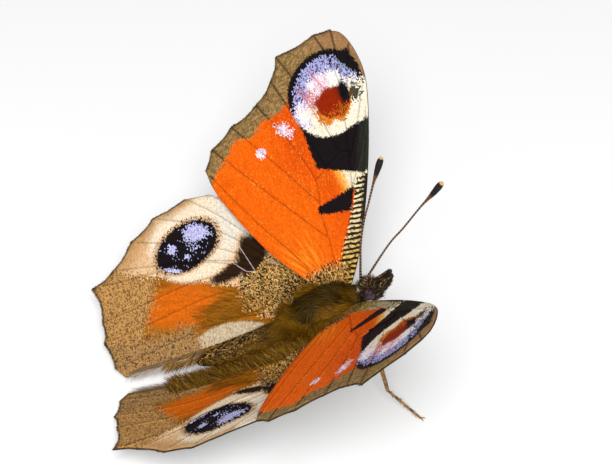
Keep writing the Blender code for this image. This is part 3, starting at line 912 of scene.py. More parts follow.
def olive_border(scales, paint, disc):
    """The brown border, mottled across, with a dark edge and dark vein ends."""
    tail = (-5.3 - scales.ahead).most(0.0)
    edge = (scales.out - scales.ahead.most(-2.5) * 0.2 + tail * 0.8 + scales.wander * 1.6).ramp(21.7, 22.5)
    above = scales.side_of((18.6, 11.35), (24.5, 11.5))
    edge = scales.pick.below(edge * 1.1).most(above.fade(-0.2, 0.2) * scales.out.ramp(18.8, 19.6))
    grain = scales.streaks(2.2, 1.1, 1.6)
    mottled = blend(grain.ramp(0.35, 0.68), OLIVE, OLIVE_LIGHT)
    mottled = blend(scales.sparse(0.25) * 0.6, mottled, OLIVE_DARK)
    mottled = blend(scales.ahead.ramp(5.5, 10.0) * 0.6, mottled, BORDER_PINK)
    mottled = blend(scales.vein.fade(0.03, 0.22) * 0.7, mottled, OLIVE_DARK)
    return blend(edge * (1.0 - disc), paint, mottled)


def finish_wing(look, scales, paint):
    """Thin veins, a dark rim and tilted scales, the same on every wing."""
    paint = shaded(paint, 0.66 + 0.34 * scales.vein.ramp(0.02, 0.14))
    paint = blend(scales.rim.fade(0.0, 0.16) * 0.8, paint, MARGIN_DARK)
    paint = shaded(paint, 0.82 + 0.36 * scales.pick)
    height = scales.slope * 0.35 + scales.streaks(0.5, 3.0) * 0.8
    wired(look, paint, 0.62 + 0.2 * scales.tone, 0.06, height, 0.5, 0.00006)
    print(look.name, "has", len(look.node_tree.nodes), "nodes")
    return look


def forewing_finish():
    look, tree = finish("forewing_upper")
    scales = WingScales(tree)
    costa = scales.line(COSTA_SLOPE[0], -COSTA_SLOPE[1], 1.52)
    paint = forewing_bar(scales, forewing_ground(scales), costa)
    paint = leading_edge(scales, paint, costa)
    paint = scales.dabs(paint, blend(scales.pick, PINK, WHITE), WHITE_DOTS, 0.45, 1.1)
    paint, disc = eyespot(scales, paint)
    return finish_wing(look, scales, olive_border(scales, paint, disc))


forewing_upper = forewing_finish()

# %% [markdown]
# The hindwing has an orange field and a golden root, and its margin is light brown. A pale
# strip lies along the abdomen.

# %% Hindwing colours
RING_CREAM = (0.9, 0.74, 0.54)
COSTA_CREAM = (0.82, 0.74, 0.62)
PEACH = (0.84, 0.56, 0.32)
RING_GOLD = (0.5, 0.25, 0.07)
PATCH_BROWN = (0.026, 0.011, 0.004)
HIND_ORANGE = (0.68, 0.13, 0.004)
HAIR_GOLD = (0.4, 0.14, 0.006)
HAIR_BROWN = (0.2, 0.07, 0.004)
MARGIN_TAN = (0.5, 0.26, 0.085)
MARGIN_BROWN = (0.17, 0.082, 0.026)
ANAL_CREAM = (0.55, 0.43, 0.27)
ANAL_BROWN = (0.24, 0.14, 0.065)


def hindwing_ground(scales):
    """The golden root, the orange field and the tan margin."""
    fan = scales.fan((-1.2, 1.0), 34.0, 0.2, False)
    ground = blend(fan.ramp(0.35, 0.65), HAIR_BROWN, HAIR_GOLD)
    field = scales.ring((5.6, -14.6), (3.1, 5.3), 10.0) + (fan - 0.5) * 0.7
    orange = shaded(HIND_ORANGE, 0.65 + 0.7 * fan)
    ground = blend(field.fade(0.55, 1.15), ground, orange)
    ground = blend(scales.sparse(0.14) * 0.5, ground, HAIR_GOLD)
    margin = scales.line(0.42, -1.0, 0.0).ramp(19.2, 21.6)
    tan = blend(scales.pick.below(0.4) * 0.75, MARGIN_TAN, MARGIN_BROWN)
    tan = blend(scales.sparse(0.12) * 0.75, tan, BASE_DARK)
    tan = blend(scales.sparse(0.14) * 0.6, tan, GOLD)
    tan = shaded(tan, 0.7 + 0.6 * scales.streaks(2.6, 1.2, 1.3))
    ground = blend(scales.tone.below(margin * 1.1), ground, tan)
    light = (-scales.side_of((8.9, -14.4), (12.4, -20.8))).ramp(-0.4, 0.9)
    peach = blend(scales.sparse(0.25) * 0.5, PEACH, MARGIN_TAN)
    peach = blend(scales.rim.fade(0.4, 3.0) * 0.8, peach, MARGIN_TAN)
    return blend(scales.tone.below(light * 1.1), ground, peach)


def hindwing_root(scales, paint):
    """Speckled gold at the root, and the pale strip by the abdomen."""
    root = scales.ring((3.1, -3.4), (4.3, 3.7), -32.0)
    paint = blend(scales.tone.below(root.fade(0.6, 1.15)), paint, speckled_base(scales, 0.3))
    bulge = scales.ahead + 11.0
    strip_side = (scales.out + bulge * bulge * 0.075).ramp(1.55, 1.85)
    rear = scales.ahead.ramp(-14.8, -12.6)
    front = scales.ahead.fade(-6.0, -4.2)
    strip = blend(scales.pick, ANAL_CREAM, (0.62, 0.5, 0.34))
    strip = blend(scales.sparse(0.14) * 0.5, strip, ANAL_BROWN)
    paint = blend((1.0 - strip_side) * rear * front, paint, strip)
    anal = scales.out.fade(1.8, 4.2) * (1.0 - rear)
    brown = blend(scales.pick.below(0.5), ANAL_BROWN, MARGIN_TAN)
    brown = blend(scales.sparse(0.3) * 0.8, brown, BASE_DARK)
    brown = blend(scales.sparse(0.16) * 0.6, brown, GOLD)
    return blend(scales.tone.below(anal), paint, brown)


print("hindwing ground and root described")

# %% [markdown]
# The hindwing's eyespot is a black oval with lilac patches inside a cream ring, with a dark
# hairy patch beside it.

# %% Hindwing eyespot and the whole hindwing
PALE_LILAC = (0.6, 0.6, 0.85)
HALO = ((12.7, -11.2), (5.2, 5.3), -17.0)
LILAC_SPOTS = (
    ((13.5, -10.6), (1.35, 1.85), 18.0, 1.15),
    ((12.3, -11.3), (1.5, 0.9), 0.0, 0.35),
    ((12.6, -13.7), (0.72, 0.62), 0.0, 1.1),
    ((11.2, -12.2), (0.42, 0.4), 0.0, 1.0),
    ((10.15, -14.25), (0.27, 1.15), 27.0, 1.6),
)


def hindwing_eyespot(scales, paint):
    """Cream round a black oval, lilac scattered in it."""
    reach = scales.ring((12.35, -12.0), (2.72, 3.72), -17.0)
    halo = scales.ring(*HALO)
    outer = scales.line(1.0, 0.35, 0.0).ramp(8.2, 9.6) * scales.ahead.ramp(-17.4, -13.6)
    cream = blend(scales.ahead.ramp(-9.0, -6.8), RING_CREAM, COSTA_CREAM)
    cream = blend(scales.sparse(0.12) * reach.ramp(1.4, 2.2), cream, MARGIN_TAN)
    tan_edge = scales.rim.fade(0.2, 1.6) * 0.8
    cream = blend(tan_edge, cream, MARGIN_TAN)
    shape = halo.fade(0.86, 1.02).most(outer * scales.out.ramp(11.0, 12.4))
    paint = blend(shape, paint, cream)
    front = scales.ahead.ramp(-7.2, -6.2) * scales.line(1.0, 0.55, 0.0).ramp(7.8, 9.0)
    paint = blend(front, paint, COSTA_CREAM)
    paint = blend(reach.fade(1.02, 1.24) * 0.75, paint, RING_GOLD)
    paint = blend(scales.sparse(0.3) * reach.fade(1.05, 1.2), paint, BLACK)
    black = reach.fade(0.97, 1.03)
    oval = blend(scales.sparse(0.03), BLACK, LILAC)
    oval = scales.dabs(oval, blend(scales.pick, LILAC, PALE_LILAC), LILAC_SPOTS, 0.4, 1.1)
    return blend(black, paint, oval)


def brown_patch(scales, paint):
    """The dark hairy patch between the root and the cream ring."""
    patch = scales.ring((9.0, -5.3), (3.5, 1.8), 24.0).least(scales.ring((7.5, -8.3), (0.95, 2.3), -12.0))
    halo = scales.ring(*HALO)
    hairy = scales.streaks(1.2, 5.0, 1.0) * 0.5
    shape = (1.0 - (patch + hairy).ramp(1.0, 1.5)) * halo.ramp(0.93, 1.05)
    paint = blend(shape, paint, PATCH_BROWN)
    lines = scales.hairline(((3.8, -3.0), (6.7, -5.6), (10.3, -6.5)), 0.065)
    lines = lines.most(scales.hairline(((6.7, -5.6), (7.0, -6.5), (8.4, -7.6)), 0.065))
    return blend(lines * 0.8, paint, (0.6, 0.48, 0.44))


def hindwing_finish():
    look, tree = finish("hindwing_upper")
    scales = WingScales(tree)
    paint = hindwing_root(scales, hindwing_ground(scales))
    return finish_wing(look, scales, hindwing_eyespot(scales, brown_patch(scales, paint)))


hindwing_upper = hindwing_finish()

# %% [markdown]
# With its wings shut the butterfly hides: the underside is almost black, crossed by fine
# wavy lines like bark, a little paler towards the outer margin.

# %% Underside
UNDER_DARK = (0.012, 0.009, 0.007)
UNDER_LINE = (0.06, 0.045, 0.032)
UNDER_BORDER = (0.11, 0.08, 0.05)


def underside_finish():
    look, tree = finish("wing_under")
    scales = WingScales(tree)
    bark = (scales.true_out * 6.0 + scales.streaks(0.8, 1.0, 1.2) * 16.0).wave().ramp(0.2, 1.0)
    paint = blend(bark * 0.7, UNDER_DARK, UNDER_LINE)
    band = (scales.rim + scales.streaks(0.9, 0.9) * 1.6).fade(2.4, 4.2)
    paint = blend(band * 0.5, paint, UNDER_BORDER)
    return finish_wing(look, scales, blend(scales.sparse(0.12), paint, UNDER_LINE))


wing_under = underside_finish()

# %% [markdown]
# Both forewings share one flat skin and so do both hindwings. Only the pose is mirrored, so
# the markings match left and right as they do in life.

# %% Build the four wings
SIDES = (("left", 1), ("right", -1))

fore_skin = flat_skin(forewing_outline(), FOREWING_VEINS)
hind_skin = flat_skin(hindwing_outline(), HINDWING_VEINS)
fore_margin = scalloped(FOREWING_VEIN_ENDS, FOREWING_SCALLOPS)
hind_margin = scalloped(HINDWING_VEIN_ENDS, HINDWING_SCALLOPS)
WING_KINDS = (
    ("forewing", FOREWING, fore_skin, fore_margin, forewing_upper),
    ("hindwing", HINDWING, hind_skin, hind_margin, hindwing_upper),
)

for side_name, side in SIDES:
    for kind, wing, flat, margin, upper in WING_KINDS:
        node = f"{kind}_{side_name}"
        made = wing_skin(f"{node}_scaled", flat, margin, wing, side, (upper, wing_under))
        stands_for(made, kind, node)
        print(made.name, len(made.data.polygons), "faces")

# %% [markdown]
# Rounded pieces come from two helpers: a ball stretched along its axes, and a tube round a
# smooth curve whose thickness varies. Each is then settled, which puts its place and size
# into the mesh. A piece on the right is the mirror image of one on the left.

# %% Balls and tubes
THINNEST = 0.02


def mirrored(point, side):
    """The point itself for side 1, and its twin on the right for side -1."""
    return (point[0], point[1] * side, *point[2:])


def settle(made, name):
    """Names a piece and puts its place into its mesh."""
    made.name = name
    only(made)
    bpy.ops.object.transform_apply(location=True, rotation=True, scale=True)
    bpy.ops.object.shade_smooth()
    return made


def ball(name, middle, half, pitch=0.0, fineness=4):
    deselect()
    bpy.ops.mesh.primitive_ico_sphere_add(subdivisions=fineness, radius=1.0, location=place(middle))
    made = bpy.context.object
    made.scale = Vector(half) * MM
    made.rotation_euler = (0.0, -math.radians(pitch), 0.0)
    return settle(made, name)


def tube(name, run, sides=3, steps=6):
    """A round tube through points (x, y, z, radius), closed at both ends."""
    line = spline([point[:3] for point in run], steps)
    thickness = spline([(point[3], 0.0) for point in run], steps)
    curve = bpy.data.curves.new(name, "CURVE")
    curve.dimensions = "3D"
    curve.bevel_depth = MM
    curve.bevel_resolution = sides
    curve.use_fill_caps = True
    thread = curve.splines.new("POLY")
    thread.points.add(len(line) - 1)
    for knot, point, radius in zip(thread.points, line, thickness):
        knot.co = (*place(point), 1.0)
        knot.radius = max(radius.x, THINNEST)
    only(added(name, curve))
    bpy.ops.object.convert(target="MESH")
    made = bpy.context.object
    only(made)
    bpy.ops.object.mode_set(mode="EDIT")
    bpy.ops.mesh.select_all(action="SELECT")
    bpy.ops.mesh.remove_doubles(threshold=0.000001)
    bpy.ops.mesh.normals_make_consistent(inside=False)
    bpy.ops.object.mode_set(mode="OBJECT")
    return settle(made, name)


def joined(pieces, name):
    only(pieces[0])
    for piece in pieces[1:]:
        piece.select_set(True)
    bpy.ops.object.join()
    return settle(bpy.context.object, name)


print("a tube's radius is at least", THINNEST, "mm")

# %% [markdown]
# Under its hair the body is one soft skin: chest, hind body, neck and head run into each
# other with no seam. Rounded primitives and a curve with varying thickness give the masses,
# and a voxel Remesh welds them. It lies inside the solids by about the depth of the hair.

# %% Body skin
THORAX_PITCH = 25.0
SKIN_VOXEL = 0.14
ABDOMEN_RUN = (
    (-1.6, 0.0, -1.9, 1.3), (-2.6, 0.0, -2.5, 1.25), (-4.6, 0.0, -3.9, 1.3),
    (-6.5, 0.0, -4.7, 1.38), (-8.5, 0.0, -5.3, 1.32), (-10.5, 0.0, -5.9, 1.14),
    (-12.2, 0.0, -6.45, 0.84), (-13.2, 0.0, -6.8, 0.48), (-13.6, 0.0, -6.92, 0.2),
)
BODY_MASSES = (
    ((-0.1, 0.0, -1.1), (3.55, 1.9, 2.1), THORAX_PITCH),
    ((0.9, 1.55, -0.55), (2.2, 0.75, 0.75), THORAX_PITCH),
    ((-0.7, 2.6, -1.35), (1.6, 1.35, 0.55), THORAX_PITCH),
    ((-2.3, 1.3, -2.3), (1.9, 0.85, 0.8), THORAX_PITCH),
    ((3.2, 0.0, 0.45), (1.1, 0.72, 0.85), 10.0),
    ((4.5, 0.0, 1.05), (0.98, 0.72, 1.0), 0.0),
    ((5.1, 0.0, 0.4), (0.8, 0.5, 0.85), 0.0),
)

masses = []
for middle, half, pitch in BODY_MASSES:
    for side in (1, -1) if middle[1] else (1,):
        masses.append(ball("mass", mirrored(middle, side), half, pitch))
skin = joined([*masses, tube("hind_body", ABDOMEN_RUN)], "body_skin")
apply(skin, "REMESH", mode="VOXEL", voxel_size=SKIN_VOXEL * MM, use_smooth_shade=True)
apply(skin, "SMOOTH", factor=0.5, iterations=4)
print("body skin", len(skin.data.polygons), "faces")

# %% [markdown]
# Hair here is a real mesh: each hair is a thin tapered blade of a few triangles that starts
# on the skin, rises a little and lies down along the body. One function makes a whole coat
# from lists of roots, directions and lengths. Every blade also gets a small patch in a map
# for baking, at its root's place on the unrolled skin, and numbers that the finish reads:
# how golden it is, its own shade, and how near the tip a point is.

# %% Coats of hair
HAIR_PATCH = 0.003
LONG_LEVELS = ((0.0, 1.0), (0.38, 0.9), (0.72, 0.6), (1.0, 0.0))
SHORT_LEVELS = ((0.0, 0.8), (0.55, 1.0), (1.0, 0.0))


def unit(vectors):
    return vectors / np.maximum(np.linalg.norm(vectors, axis=1, keepdims=True), 1e-9)


def along_skin(directions, normals):
    """Directions laid down on the skin."""
    return unit(directions - normals * np.sum(directions * normals, axis=1, keepdims=True))


def turned(directions, normals, angles):
    angles = angles[:, None]
    return directions * np.cos(angles) + np.cross(normals, directions) * np.sin(angles)


def coat(
    name, rng, roots, normals, lies, lengths, widths, rise, curl, patches, gold, look, levels=LONG_LEVELS
):
    """One mesh of tapered blades; places in the body's millimetres."""
    count, rungs = len(roots), len(levels)
    across = unit(np.cross(normals, lies) + normals * rng.normal(0, 0.35, (count, 1)))
    bend = rng.normal(0, curl, (count, 1))
    lift = rise * rng.uniform(0.5, 1.5, (count, 1))
    lengths, widths = lengths[:, None], widths[:, None]
    per_blade = 2 * rungs - 1
    points = np.empty((count, per_blade, 3))
    maps = np.empty((count, per_blade, 2))
    tips = np.empty((count, per_blade))
    for rung, (t, breadth) in enumerate(levels):
        middle = roots + lengths * (lies * t + normals * lift * t * (1 - 0.62 * t) + across * bend * t * t)
        side = across * widths * breadth / 2
        here = slice(2 * rung, 2 * rung + 2) if rung < rungs - 1 else slice(2 * rung, 2 * rung + 1)
        signs = (1, -1) if rung < rungs - 1 else (0,)
        points[:, here] = np.stack([middle + side * sign for sign in signs], axis=1)
        patch = [patches + HAIR_PATCH * np.array((sign * 0.5, t - 0.5)) for sign in signs]
        maps[:, here] = np.stack(patch, axis=1)
        tips[:, here] = t
    starts = np.arange(count)[:, None] * per_blade
    quads = [starts + np.array((2 * r, 2 * r + 1, 2 * r + 3, 2 * r + 2)) for r in range(rungs - 2)]
    last = 2 * (rungs - 2)
    faces = [tuple(face) for quad in quads for face in quad.tolist()]
    faces += [tuple(face) for face in (starts + np.array((last, last + 1, last + 2))).tolist()]
    mesh = bpy.data.meshes.new(name)
    origin = np.array(tuple(ORIGIN))
    mesh.from_pydata(((points.reshape(-1, 3) + origin) * MM).tolist(), [], faces)
    mesh.materials.append(look)
    add_number(mesh, "gold", np.repeat(gold, per_blade))
    add_number(mesh, "shade", np.repeat(rng.uniform(0, 1, count), per_blade))
    add_number(mesh, "tip", tips.reshape(-1))
    loops = np.empty(len(mesh.loops), np.int32)
    mesh.loops.foreach_get("vertex_index", loops)
    mesh.uv_layers.new(name="OFBake").data.foreach_set("uv", maps.reshape(-1, 2)[loops].reshape(-1))
    made = added(name, mesh)
    only(made)
    bpy.ops.object.shade_smooth()
    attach(made, "root")
    print(name, count, "hairs,", count * (2 * rungs - 3), "triangles")
    return made


print("a long hair has", len(LONG_LEVELS) * 2 - 3, "triangles")

# %% [markdown]
# Roots are picked at random on a piece's triangles, more of them where a triangle is large
# or the rule for density is high. Noise that changes slowly over the body later turns
# neighbouring hairs together.

# %% Hair roots


def vertex_numbers(mesh, what):
    """A place or a direction for each vertex."""
    numbers = np.empty(len(mesh.vertices) * 3)
    mesh.vertices.foreach_get(what, numbers)
    return numbers.reshape(-1, 3)


def body_places(mesh):
    """Every vertex in the body's millimetres."""
    return vertex_numbers(mesh, "co") / MM - np.array(tuple(ORIGIN))


def scatter(piece, rng, count, density):
    """Random roots on a piece, with normals, in the body's millimetres."""
    mesh = piece.data
    mesh.calc_loop_triangles()
    corners = np.empty(len(mesh.loop_triangles) * 3, np.int32)
    mesh.loop_triangles.foreach_get("vertices", corners)
    corners = corners.reshape(-1, 3)
    places, facing = body_places(mesh), vertex_numbers(mesh, "normal")
    a, b, c = (places[corners[:, i]] for i in range(3))
    chances = np.linalg.norm(np.cross(b - a, c - a), axis=1) * density((a + b + c) / 3)
    picked = corners[rng.choice(len(corners), count, p=chances / chances.sum())]
    mix = rng.dirichlet((1, 1, 1), count)
    roots = sum(places[picked[:, i]] * mix[:, i : i + 1] for i in range(3))
    return roots, unit(sum(facing[picked[:, i]] * mix[:, i : i + 1] for i in range(3)))


def unrolled(points, low, high):
    """Where a point lies on the body's skin when that is cut below and unrolled."""
    around = np.arctan2(points[:, 1], points[:, 2] + 1.5 - 0.45 * points[:, 0]) / (2 * math.pi) + 0.5
    along = (points[:, 0] + 14.5) / 22.0
    return np.stack([0.02 + 0.96 * along, low + (high - low) * around], axis=1)


def drift(points, scale, seed):
    """Smooth random numbers over space, from about -1 to 1."""
    offset = Vector((seed * 7.3, seed * 3.1, seed * 1.7))
    return np.array([noise.noise(Vector(point) * scale + offset) for point in points]) * 2.0


print("neighbours turn alike:", drift(((0.0, 0.0, 0.0), (0.1, 0.0, 0.0)), 0.55, 3).round(2))

# %% [markdown]
# The hair is olive brown on the dome of the chest, golden along its edges and beside the
# wings, and dark on the hind body with golden scales strewn over it. Skin and hair read the
# same number, so no bare patch shows through in another colour.

# %% Hair finish
OLIVE_HAIR = (0.03, 0.019, 0.0015)
GOLD_HAIR = (0.22, 0.098, 0.004)
PALE_HAIR = (0.9, 0.74, 0.42)
DARK_HAIR = (0.02, 0.012, 0.008)


def hair_finish(name, dark, gold, spread=0.9):
    """Fur whose shade runs from root to tip and differs from hair to hair."""
    look, tree = finish(name)
    golden, shade, tip = (number_of(tree, label) for label in ("gold", "shade", "tip"))
    paint = blend(golden.least(1.0), dark, gold)
    paint = blend((golden - 1.0).most(0.0), paint, PALE_HAIR)
    paint = shaded(paint, (1.0 - spread / 2 + spread * shade) * (0.55 + 0.55 * tip))
    return wired(look, paint, 0.38 + 0.24 * shade, 0.07)


def skin_finish(name, dark, gold):
    """Short velvet under the hair, blotched and finely rough."""
    look, tree = finish(name)
    grain = noise_of(tree, place_of(tree), 6000.0, 3.0)
    paint = shaded(blend(number_of(tree, "gold"), dark, gold), 0.35 + 0.5 * grain)
    return wired(look, paint, 0.7 + 0.2 * grain, 0.5, grain, 0.7, 0.00008)


def golden_parts(points):
    """How golden the body is at each point: the chest's rim, its sides and the waist."""
    x, y, _ = points.T
    rim = smoothstep((np.abs(y) - 1.2) / 0.8) * smoothstep((x + 4.5) / 1.5) * 0.9
    front = smoothstep((x - 1.6) / 1.2) * smoothstep((4.0 - x) / 0.8) * 0.5
    waist = smoothstep((-2.0 - x) / 1.0) * smoothstep((x + 6.0) / 2.0) * 0.75
    behind = smoothstep((-5.0 - x) / 2.0) * 0.25
    side = smoothstep((-y - 0.3) / 1.0) * smoothstep((-4.0 - x) / 2.0) * 0.5
    return np.clip(np.maximum.reduce([rim, front, waist, behind + side]), 0.05, 1.0)


fur = hair_finish("body_fur", OLIVE_HAIR, GOLD_HAIR)
flecked = hair_finish("flecked_scales", DARK_HAIR, (0.36, 0.18, 0.028), 0.9)
skin.data.materials.append(skin_finish("body_velvet", OLIVE_HAIR, GOLD_HAIR))
add_number(skin.data, "gold", golden_parts(body_places(skin.data)))
stands_for(skin, "fur", "thorax", "abdomen", "head")
print("body skin dressed")

# %% [markdown]
# The chest hair is long, silky and combed back in soft swirls. The hind body has shorter
# hair over flat golden scales. Both coats start from random roots on the skin, and a smooth
# random field turns neighbours together, so that the hair falls into locks.

# %% Body coats
CHEST_HAIRS = 11000
BACK_HAIRS = 3600
BACK_SCALES = 11000


def body_coat(
    name, seed, count, density, length, width, rise, curl, swirl, golden, band, look, levels=LONG_LEVELS
):
    rng = np.random.default_rng(seed)
    roots, normals = scatter(skin, rng, count, density)
    aim = np.stack([-np.ones(count), 0.35 * roots[:, 1], np.full(count, -0.15)], axis=1)
    angles = swirl * drift(roots, 0.55, seed) + rng.normal(0, 0.16, count)
    lies = turned(along_skin(aim, normals), normals, angles)
    lengths = length(roots[:, 0]) * rng.uniform(0.65, 1.2, count)
    widths = width * rng.uniform(0.7, 1.2, count)
    gold = golden(roots, rng)
    patches = unrolled(roots, *band)
    return coat(name, rng, roots, normals, lies, lengths, widths, rise, curl, patches, gold, look, levels)


def chest_density(points):
    return smoothstep((points[:, 0] + 5.0) / 1.5) * smoothstep((4.0 - points[:, 0]) / 0.5) + 1e-6


def back_density(points):
    return smoothstep((-2.0 - points[:, 0]) / 2.0) + 1e-6


def waist_density(points):
    right = smoothstep((-points[:, 1] - 0.2) / 0.8)
    front = smoothstep((points[:, 0] + 7.5) / 2.5)
    return back_density(points) * np.maximum(front, right * 0.8) + 1e-6


def tinged(spread):
    """The body's own gold, a little different on each hair."""
    return lambda points, rng: np.clip(golden_parts(points) + rng.normal(0, spread, len(points)), 0, 1)


def strewn(points, rng):
    """Gold for about a third of the scales, dark for the rest."""
    return np.where(rng.uniform(0, 1, len(points)) < 0.36, rng.uniform(0.8, 1.15, len(points)), 0.0)


body_coat(
    "chest_fur", 3, CHEST_HAIRS, chest_density,
    length=lambda x: 1.15 + 0.9 * smoothstep((-0.5 - x) / 3.0),
    width=0.075, rise=0.42, curl=0.16, swirl=0.9, golden=tinged(0.14), band=(0.0, 0.3), look=fur,
)
body_coat(
    "back_fur", 5, BACK_HAIRS, waist_density,
    length=lambda x: 1.5 - 0.9 * smoothstep((-4.0 - x) / 5.0),
    width=0.06, rise=0.3, curl=0.14, swirl=0.5, golden=tinged(0.2), band=(0.33, 0.63), look=fur,
)
body_coat(
    "back_scales", 7, BACK_SCALES, back_density, length=lambda x: 0.34, width=0.17, rise=0.3, curl=0.05,
    swirl=0.3, golden=strewn, band=(0.66, 0.96), look=flecked, levels=SHORT_LEVELS,
)

# %% [markdown]
# Hair also grows on the wings. Its roots are places in the wing's flat layout, so it follows
# the wing wherever that is raised. A heading of 0 points straight out along the wing, and a
# negative one turns towards the rear.

# %% Coats on a wing
WING_HAIR_LIFT = 0.12
LAYOUT_STEP = 0.05


def wing_places(wing, side, out, ahead, above):
    """Layout points on the posed wing, for lists of numbers."""
    pose, bow = wing
    flat = np.stack([ahead, out, bow(out, ahead) + above, np.ones(len(out))])
    points = (np.array(pose) @ flat)[:3].T
    return points * np.array((1, side, 1))


def wing_coat(
    name, seed, wing, side, rooted, heading, length, width, rise, curl, golden, look, levels=LONG_LEVELS
):
    """Hair on a posed wing; its length is a number, or a function of the distance out."""
    rng = np.random.default_rng(seed)
    out, ahead = rooted(rng)
    lift = WING_HAIR_LIFT if rise else 0.0
    here = wing_places(wing, side, out, ahead, lift)
    by_out = wing_places(wing, side, out + LAYOUT_STEP, ahead, lift) - here
    by_ahead = wing_places(wing, side, out, ahead + LAYOUT_STEP, lift) - here
    normals = unit(np.cross(by_ahead, by_out) * side)
    angle = heading + rng.normal(0, 0.12, len(out))
    lies = unit(by_out * np.cos(angle)[:, None] + by_ahead * np.sin(angle)[:, None])
    if callable(length):
        length = length(out)
    lengths = length * rng.uniform(0.6, 1.25, len(out))
    widths = width * rng.uniform(0.7, 1.2, len(out))
    patches = np.stack([0.05 + 0.9 * (out + 6) / 40, 0.02 + 0.96 * (ahead + 27) / 44], axis=1)
    gold = golden(out, ahead, rng)
    return coat(name, rng, here, normals, lies, lengths, widths, rise, curl, patches, gold, look, levels)


def in_box(count, outs, aheads, keep=lambda out, ahead: 1.0):
    """A picker of random layout places in a box, thinned by a rule."""

    def pick(rng):
        out, ahead = rng.uniform(*outs, count), rng.uniform(*aheads, count)
        kept = keep(out, ahead) > rng.uniform(0, 1, count)
        return out[kept], ahead[kept]

    return pick


print("wing hair starts", WING_HAIR_LIFT, "mm above the layout")

# %% [markdown]
# Speckled scales stand at the roots of both wings, ochre silk lies beside the pale strip,
# and brown fur fills the fold next to the abdomen. Each kind has a rule for where it grows
# and one for how golden its hairs are.

# %% Where wing hair grows


def hind_root(out, ahead):
    """The flecked field at the hindwing's root, clear of the pale strip."""
    reach = np.hypot((out - 3.0) / 4.6, (ahead + 3.6) / 4.2)
    strip = (out < 1.9) & (ahead < -4.0)
    patch = out - 0.7 * np.maximum(ahead + 5.75, 0) > 6.5
    return smoothstep((1.2 - reach) / 0.55) * ~strip * ~patch


def hind_silk(out, ahead):
    """The ochre hair between the flecked field and the pale strip."""
    band = smoothstep((out - 1.5) / 0.5) * smoothstep((4.8 - out) / 1.5)
    return band * smoothstep((-3.6 - ahead) / 2.5) * smoothstep((ahead + 13.5) / 5.0)


def fore_root(out, ahead):
    reach = np.hypot((out - 0.3) / 2.7, (ahead + 1.4) / 3.6)
    return smoothstep((1.15 - reach) / 0.9) * (ahead < 0.75 * out + 0.6) * (ahead > -2.4 - 0.5 * out)


def inner_edge(out, ahead):
    return smoothstep((1.2 - np.abs(out + 0.3)) / 0.8) * smoothstep((ahead + 21.5) / 2.0)


def speckled(share):
    """Gold for a share of the scales, a few of those pale, and dark for the rest."""

    def pick(out, ahead, rng):
        golden = rng.uniform(0.6, 1.15, len(out))
        golden = golden + 0.6 * (rng.uniform(0, 1, len(out)) < 0.05 + 0.035 * out)
        darker = 0.3 * smoothstep((2.2 - np.hypot(out - 2.6, ahead + 2.2)) / 1.5)
        return np.where(rng.uniform(0, 1, len(out)) < share - darker, golden, 0.0)

    return pick


def around(middle, spread, most=1.0):
    """Gold that varies round a middle value."""
    return lambda out, ahead, rng: np.clip(middle + rng.normal(0, spread, len(out)), 0, most)


def silver_edged(out, ahead, rng):
    return np.where(out < -0.7, 1.0, 0.15) * rng.uniform(0.4, 1.0, len(out))


def edge_length(out):
    """Hairs at the very edge are longer."""
    return 1.1 + 0.5 * (out < -0.8)


print("chance of silk at (3, -7):", round(float(hind_silk(3.0, -7.0)), 2))

# %% [markdown]
# The right fold faces the viewer, so its fur is thick and wide. The left one is hidden by
# the body and has only a narrow edge of it.

# %% Wing hair
FOLD_FUR = {"left": (2400, -0.3, -2.2, 1.7), "right": (7000, 1.9, -2.7, 2.2)}

root_flecks = hair_finish("root_flecks", (0.014, 0.009, 0.004), (0.72, 0.38, 0.09), 1.0)
silk = hair_finish("hindwing_silk", (0.17, 0.06, 0.003), (0.42, 0.15, 0.006))
fold_fur = hair_finish("fold_fur", (0.05, 0.024, 0.002), (0.4, 0.19, 0.016), 1.0)
silver_fur = hair_finish("silver_fur", (0.2, 0.11, 0.045), (0.72, 0.64, 0.56), 0.5)

for side_name, side in SIDES:
    rooted = in_box(14000, (0.8, 8.5), (-9.5, -0.6), hind_root)
    wing_coat(
        f"hindwing_root_fur_{side_name}", 11, HINDWING, side, rooted, heading=-0.45, length=0.34,
        width=0.15, rise=0.25, curl=0.1, golden=speckled(0.6), look=root_flecks, levels=SHORT_LEVELS,
    )
    rooted = in_box(5200, (0.0, 4.6), (-13.0, -3.6), hind_silk)
    wing_coat(
        f"hindwing_silk_{side_name}", 12, HINDWING, side, rooted, heading=-1.15, length=1.3,
        width=0.05, rise=0.08, curl=0.1, golden=around(0.62, 0.25), look=silk,
    )
    count, widest, heading, length = FOLD_FUR[side_name]
    rooted = in_box(count, (-1.1, widest), (-17.0, -2.2))
    wing_coat(
        f"inner_fold_fur_{side_name}", 15, HINDWING, side, rooted, heading, length,
        width=0.06, rise=0.2, curl=0.16, golden=around(0.45, 0.4, 1.2), look=fold_fur,
    )
    rooted = in_box(5000, (-0.8, 4.2), (-4.5, 3.4), fore_root)
    wing_coat(
        f"forewing_root_fur_{side_name}", 13, FOREWING, side, rooted, heading=0.1, length=0.34,
        width=0.12, rise=0.25, curl=0.1, golden=speckled(0.64), look=root_flecks, levels=SHORT_LEVELS,
    )
    rooted = in_box(1100, (-1.1, -0.3), (-21.0, -13.0), inner_edge)
    wing_coat(
        f"inner_edge_fur_{side_name}", 17, HINDWING, side, rooted, -2.0, edge_length,
        width=0.04, rise=0.2, curl=0.16, golden=silver_edged, look=silver_fur,
    )

# %% [markdown]
# A fringe of longer scales finishes the outer margin, dark with paler tufts in turn. It
# stands straight out from the edge, in the plane of the wing.

# %% Margin fringe
FRINGE_STEP = 0.045


def walked_along(line):
    """How far each point of a line is from its start, walking along it."""
    return np.concatenate([[0.0], np.cumsum(np.linalg.norm(np.diff(line, axis=0), axis=1))])


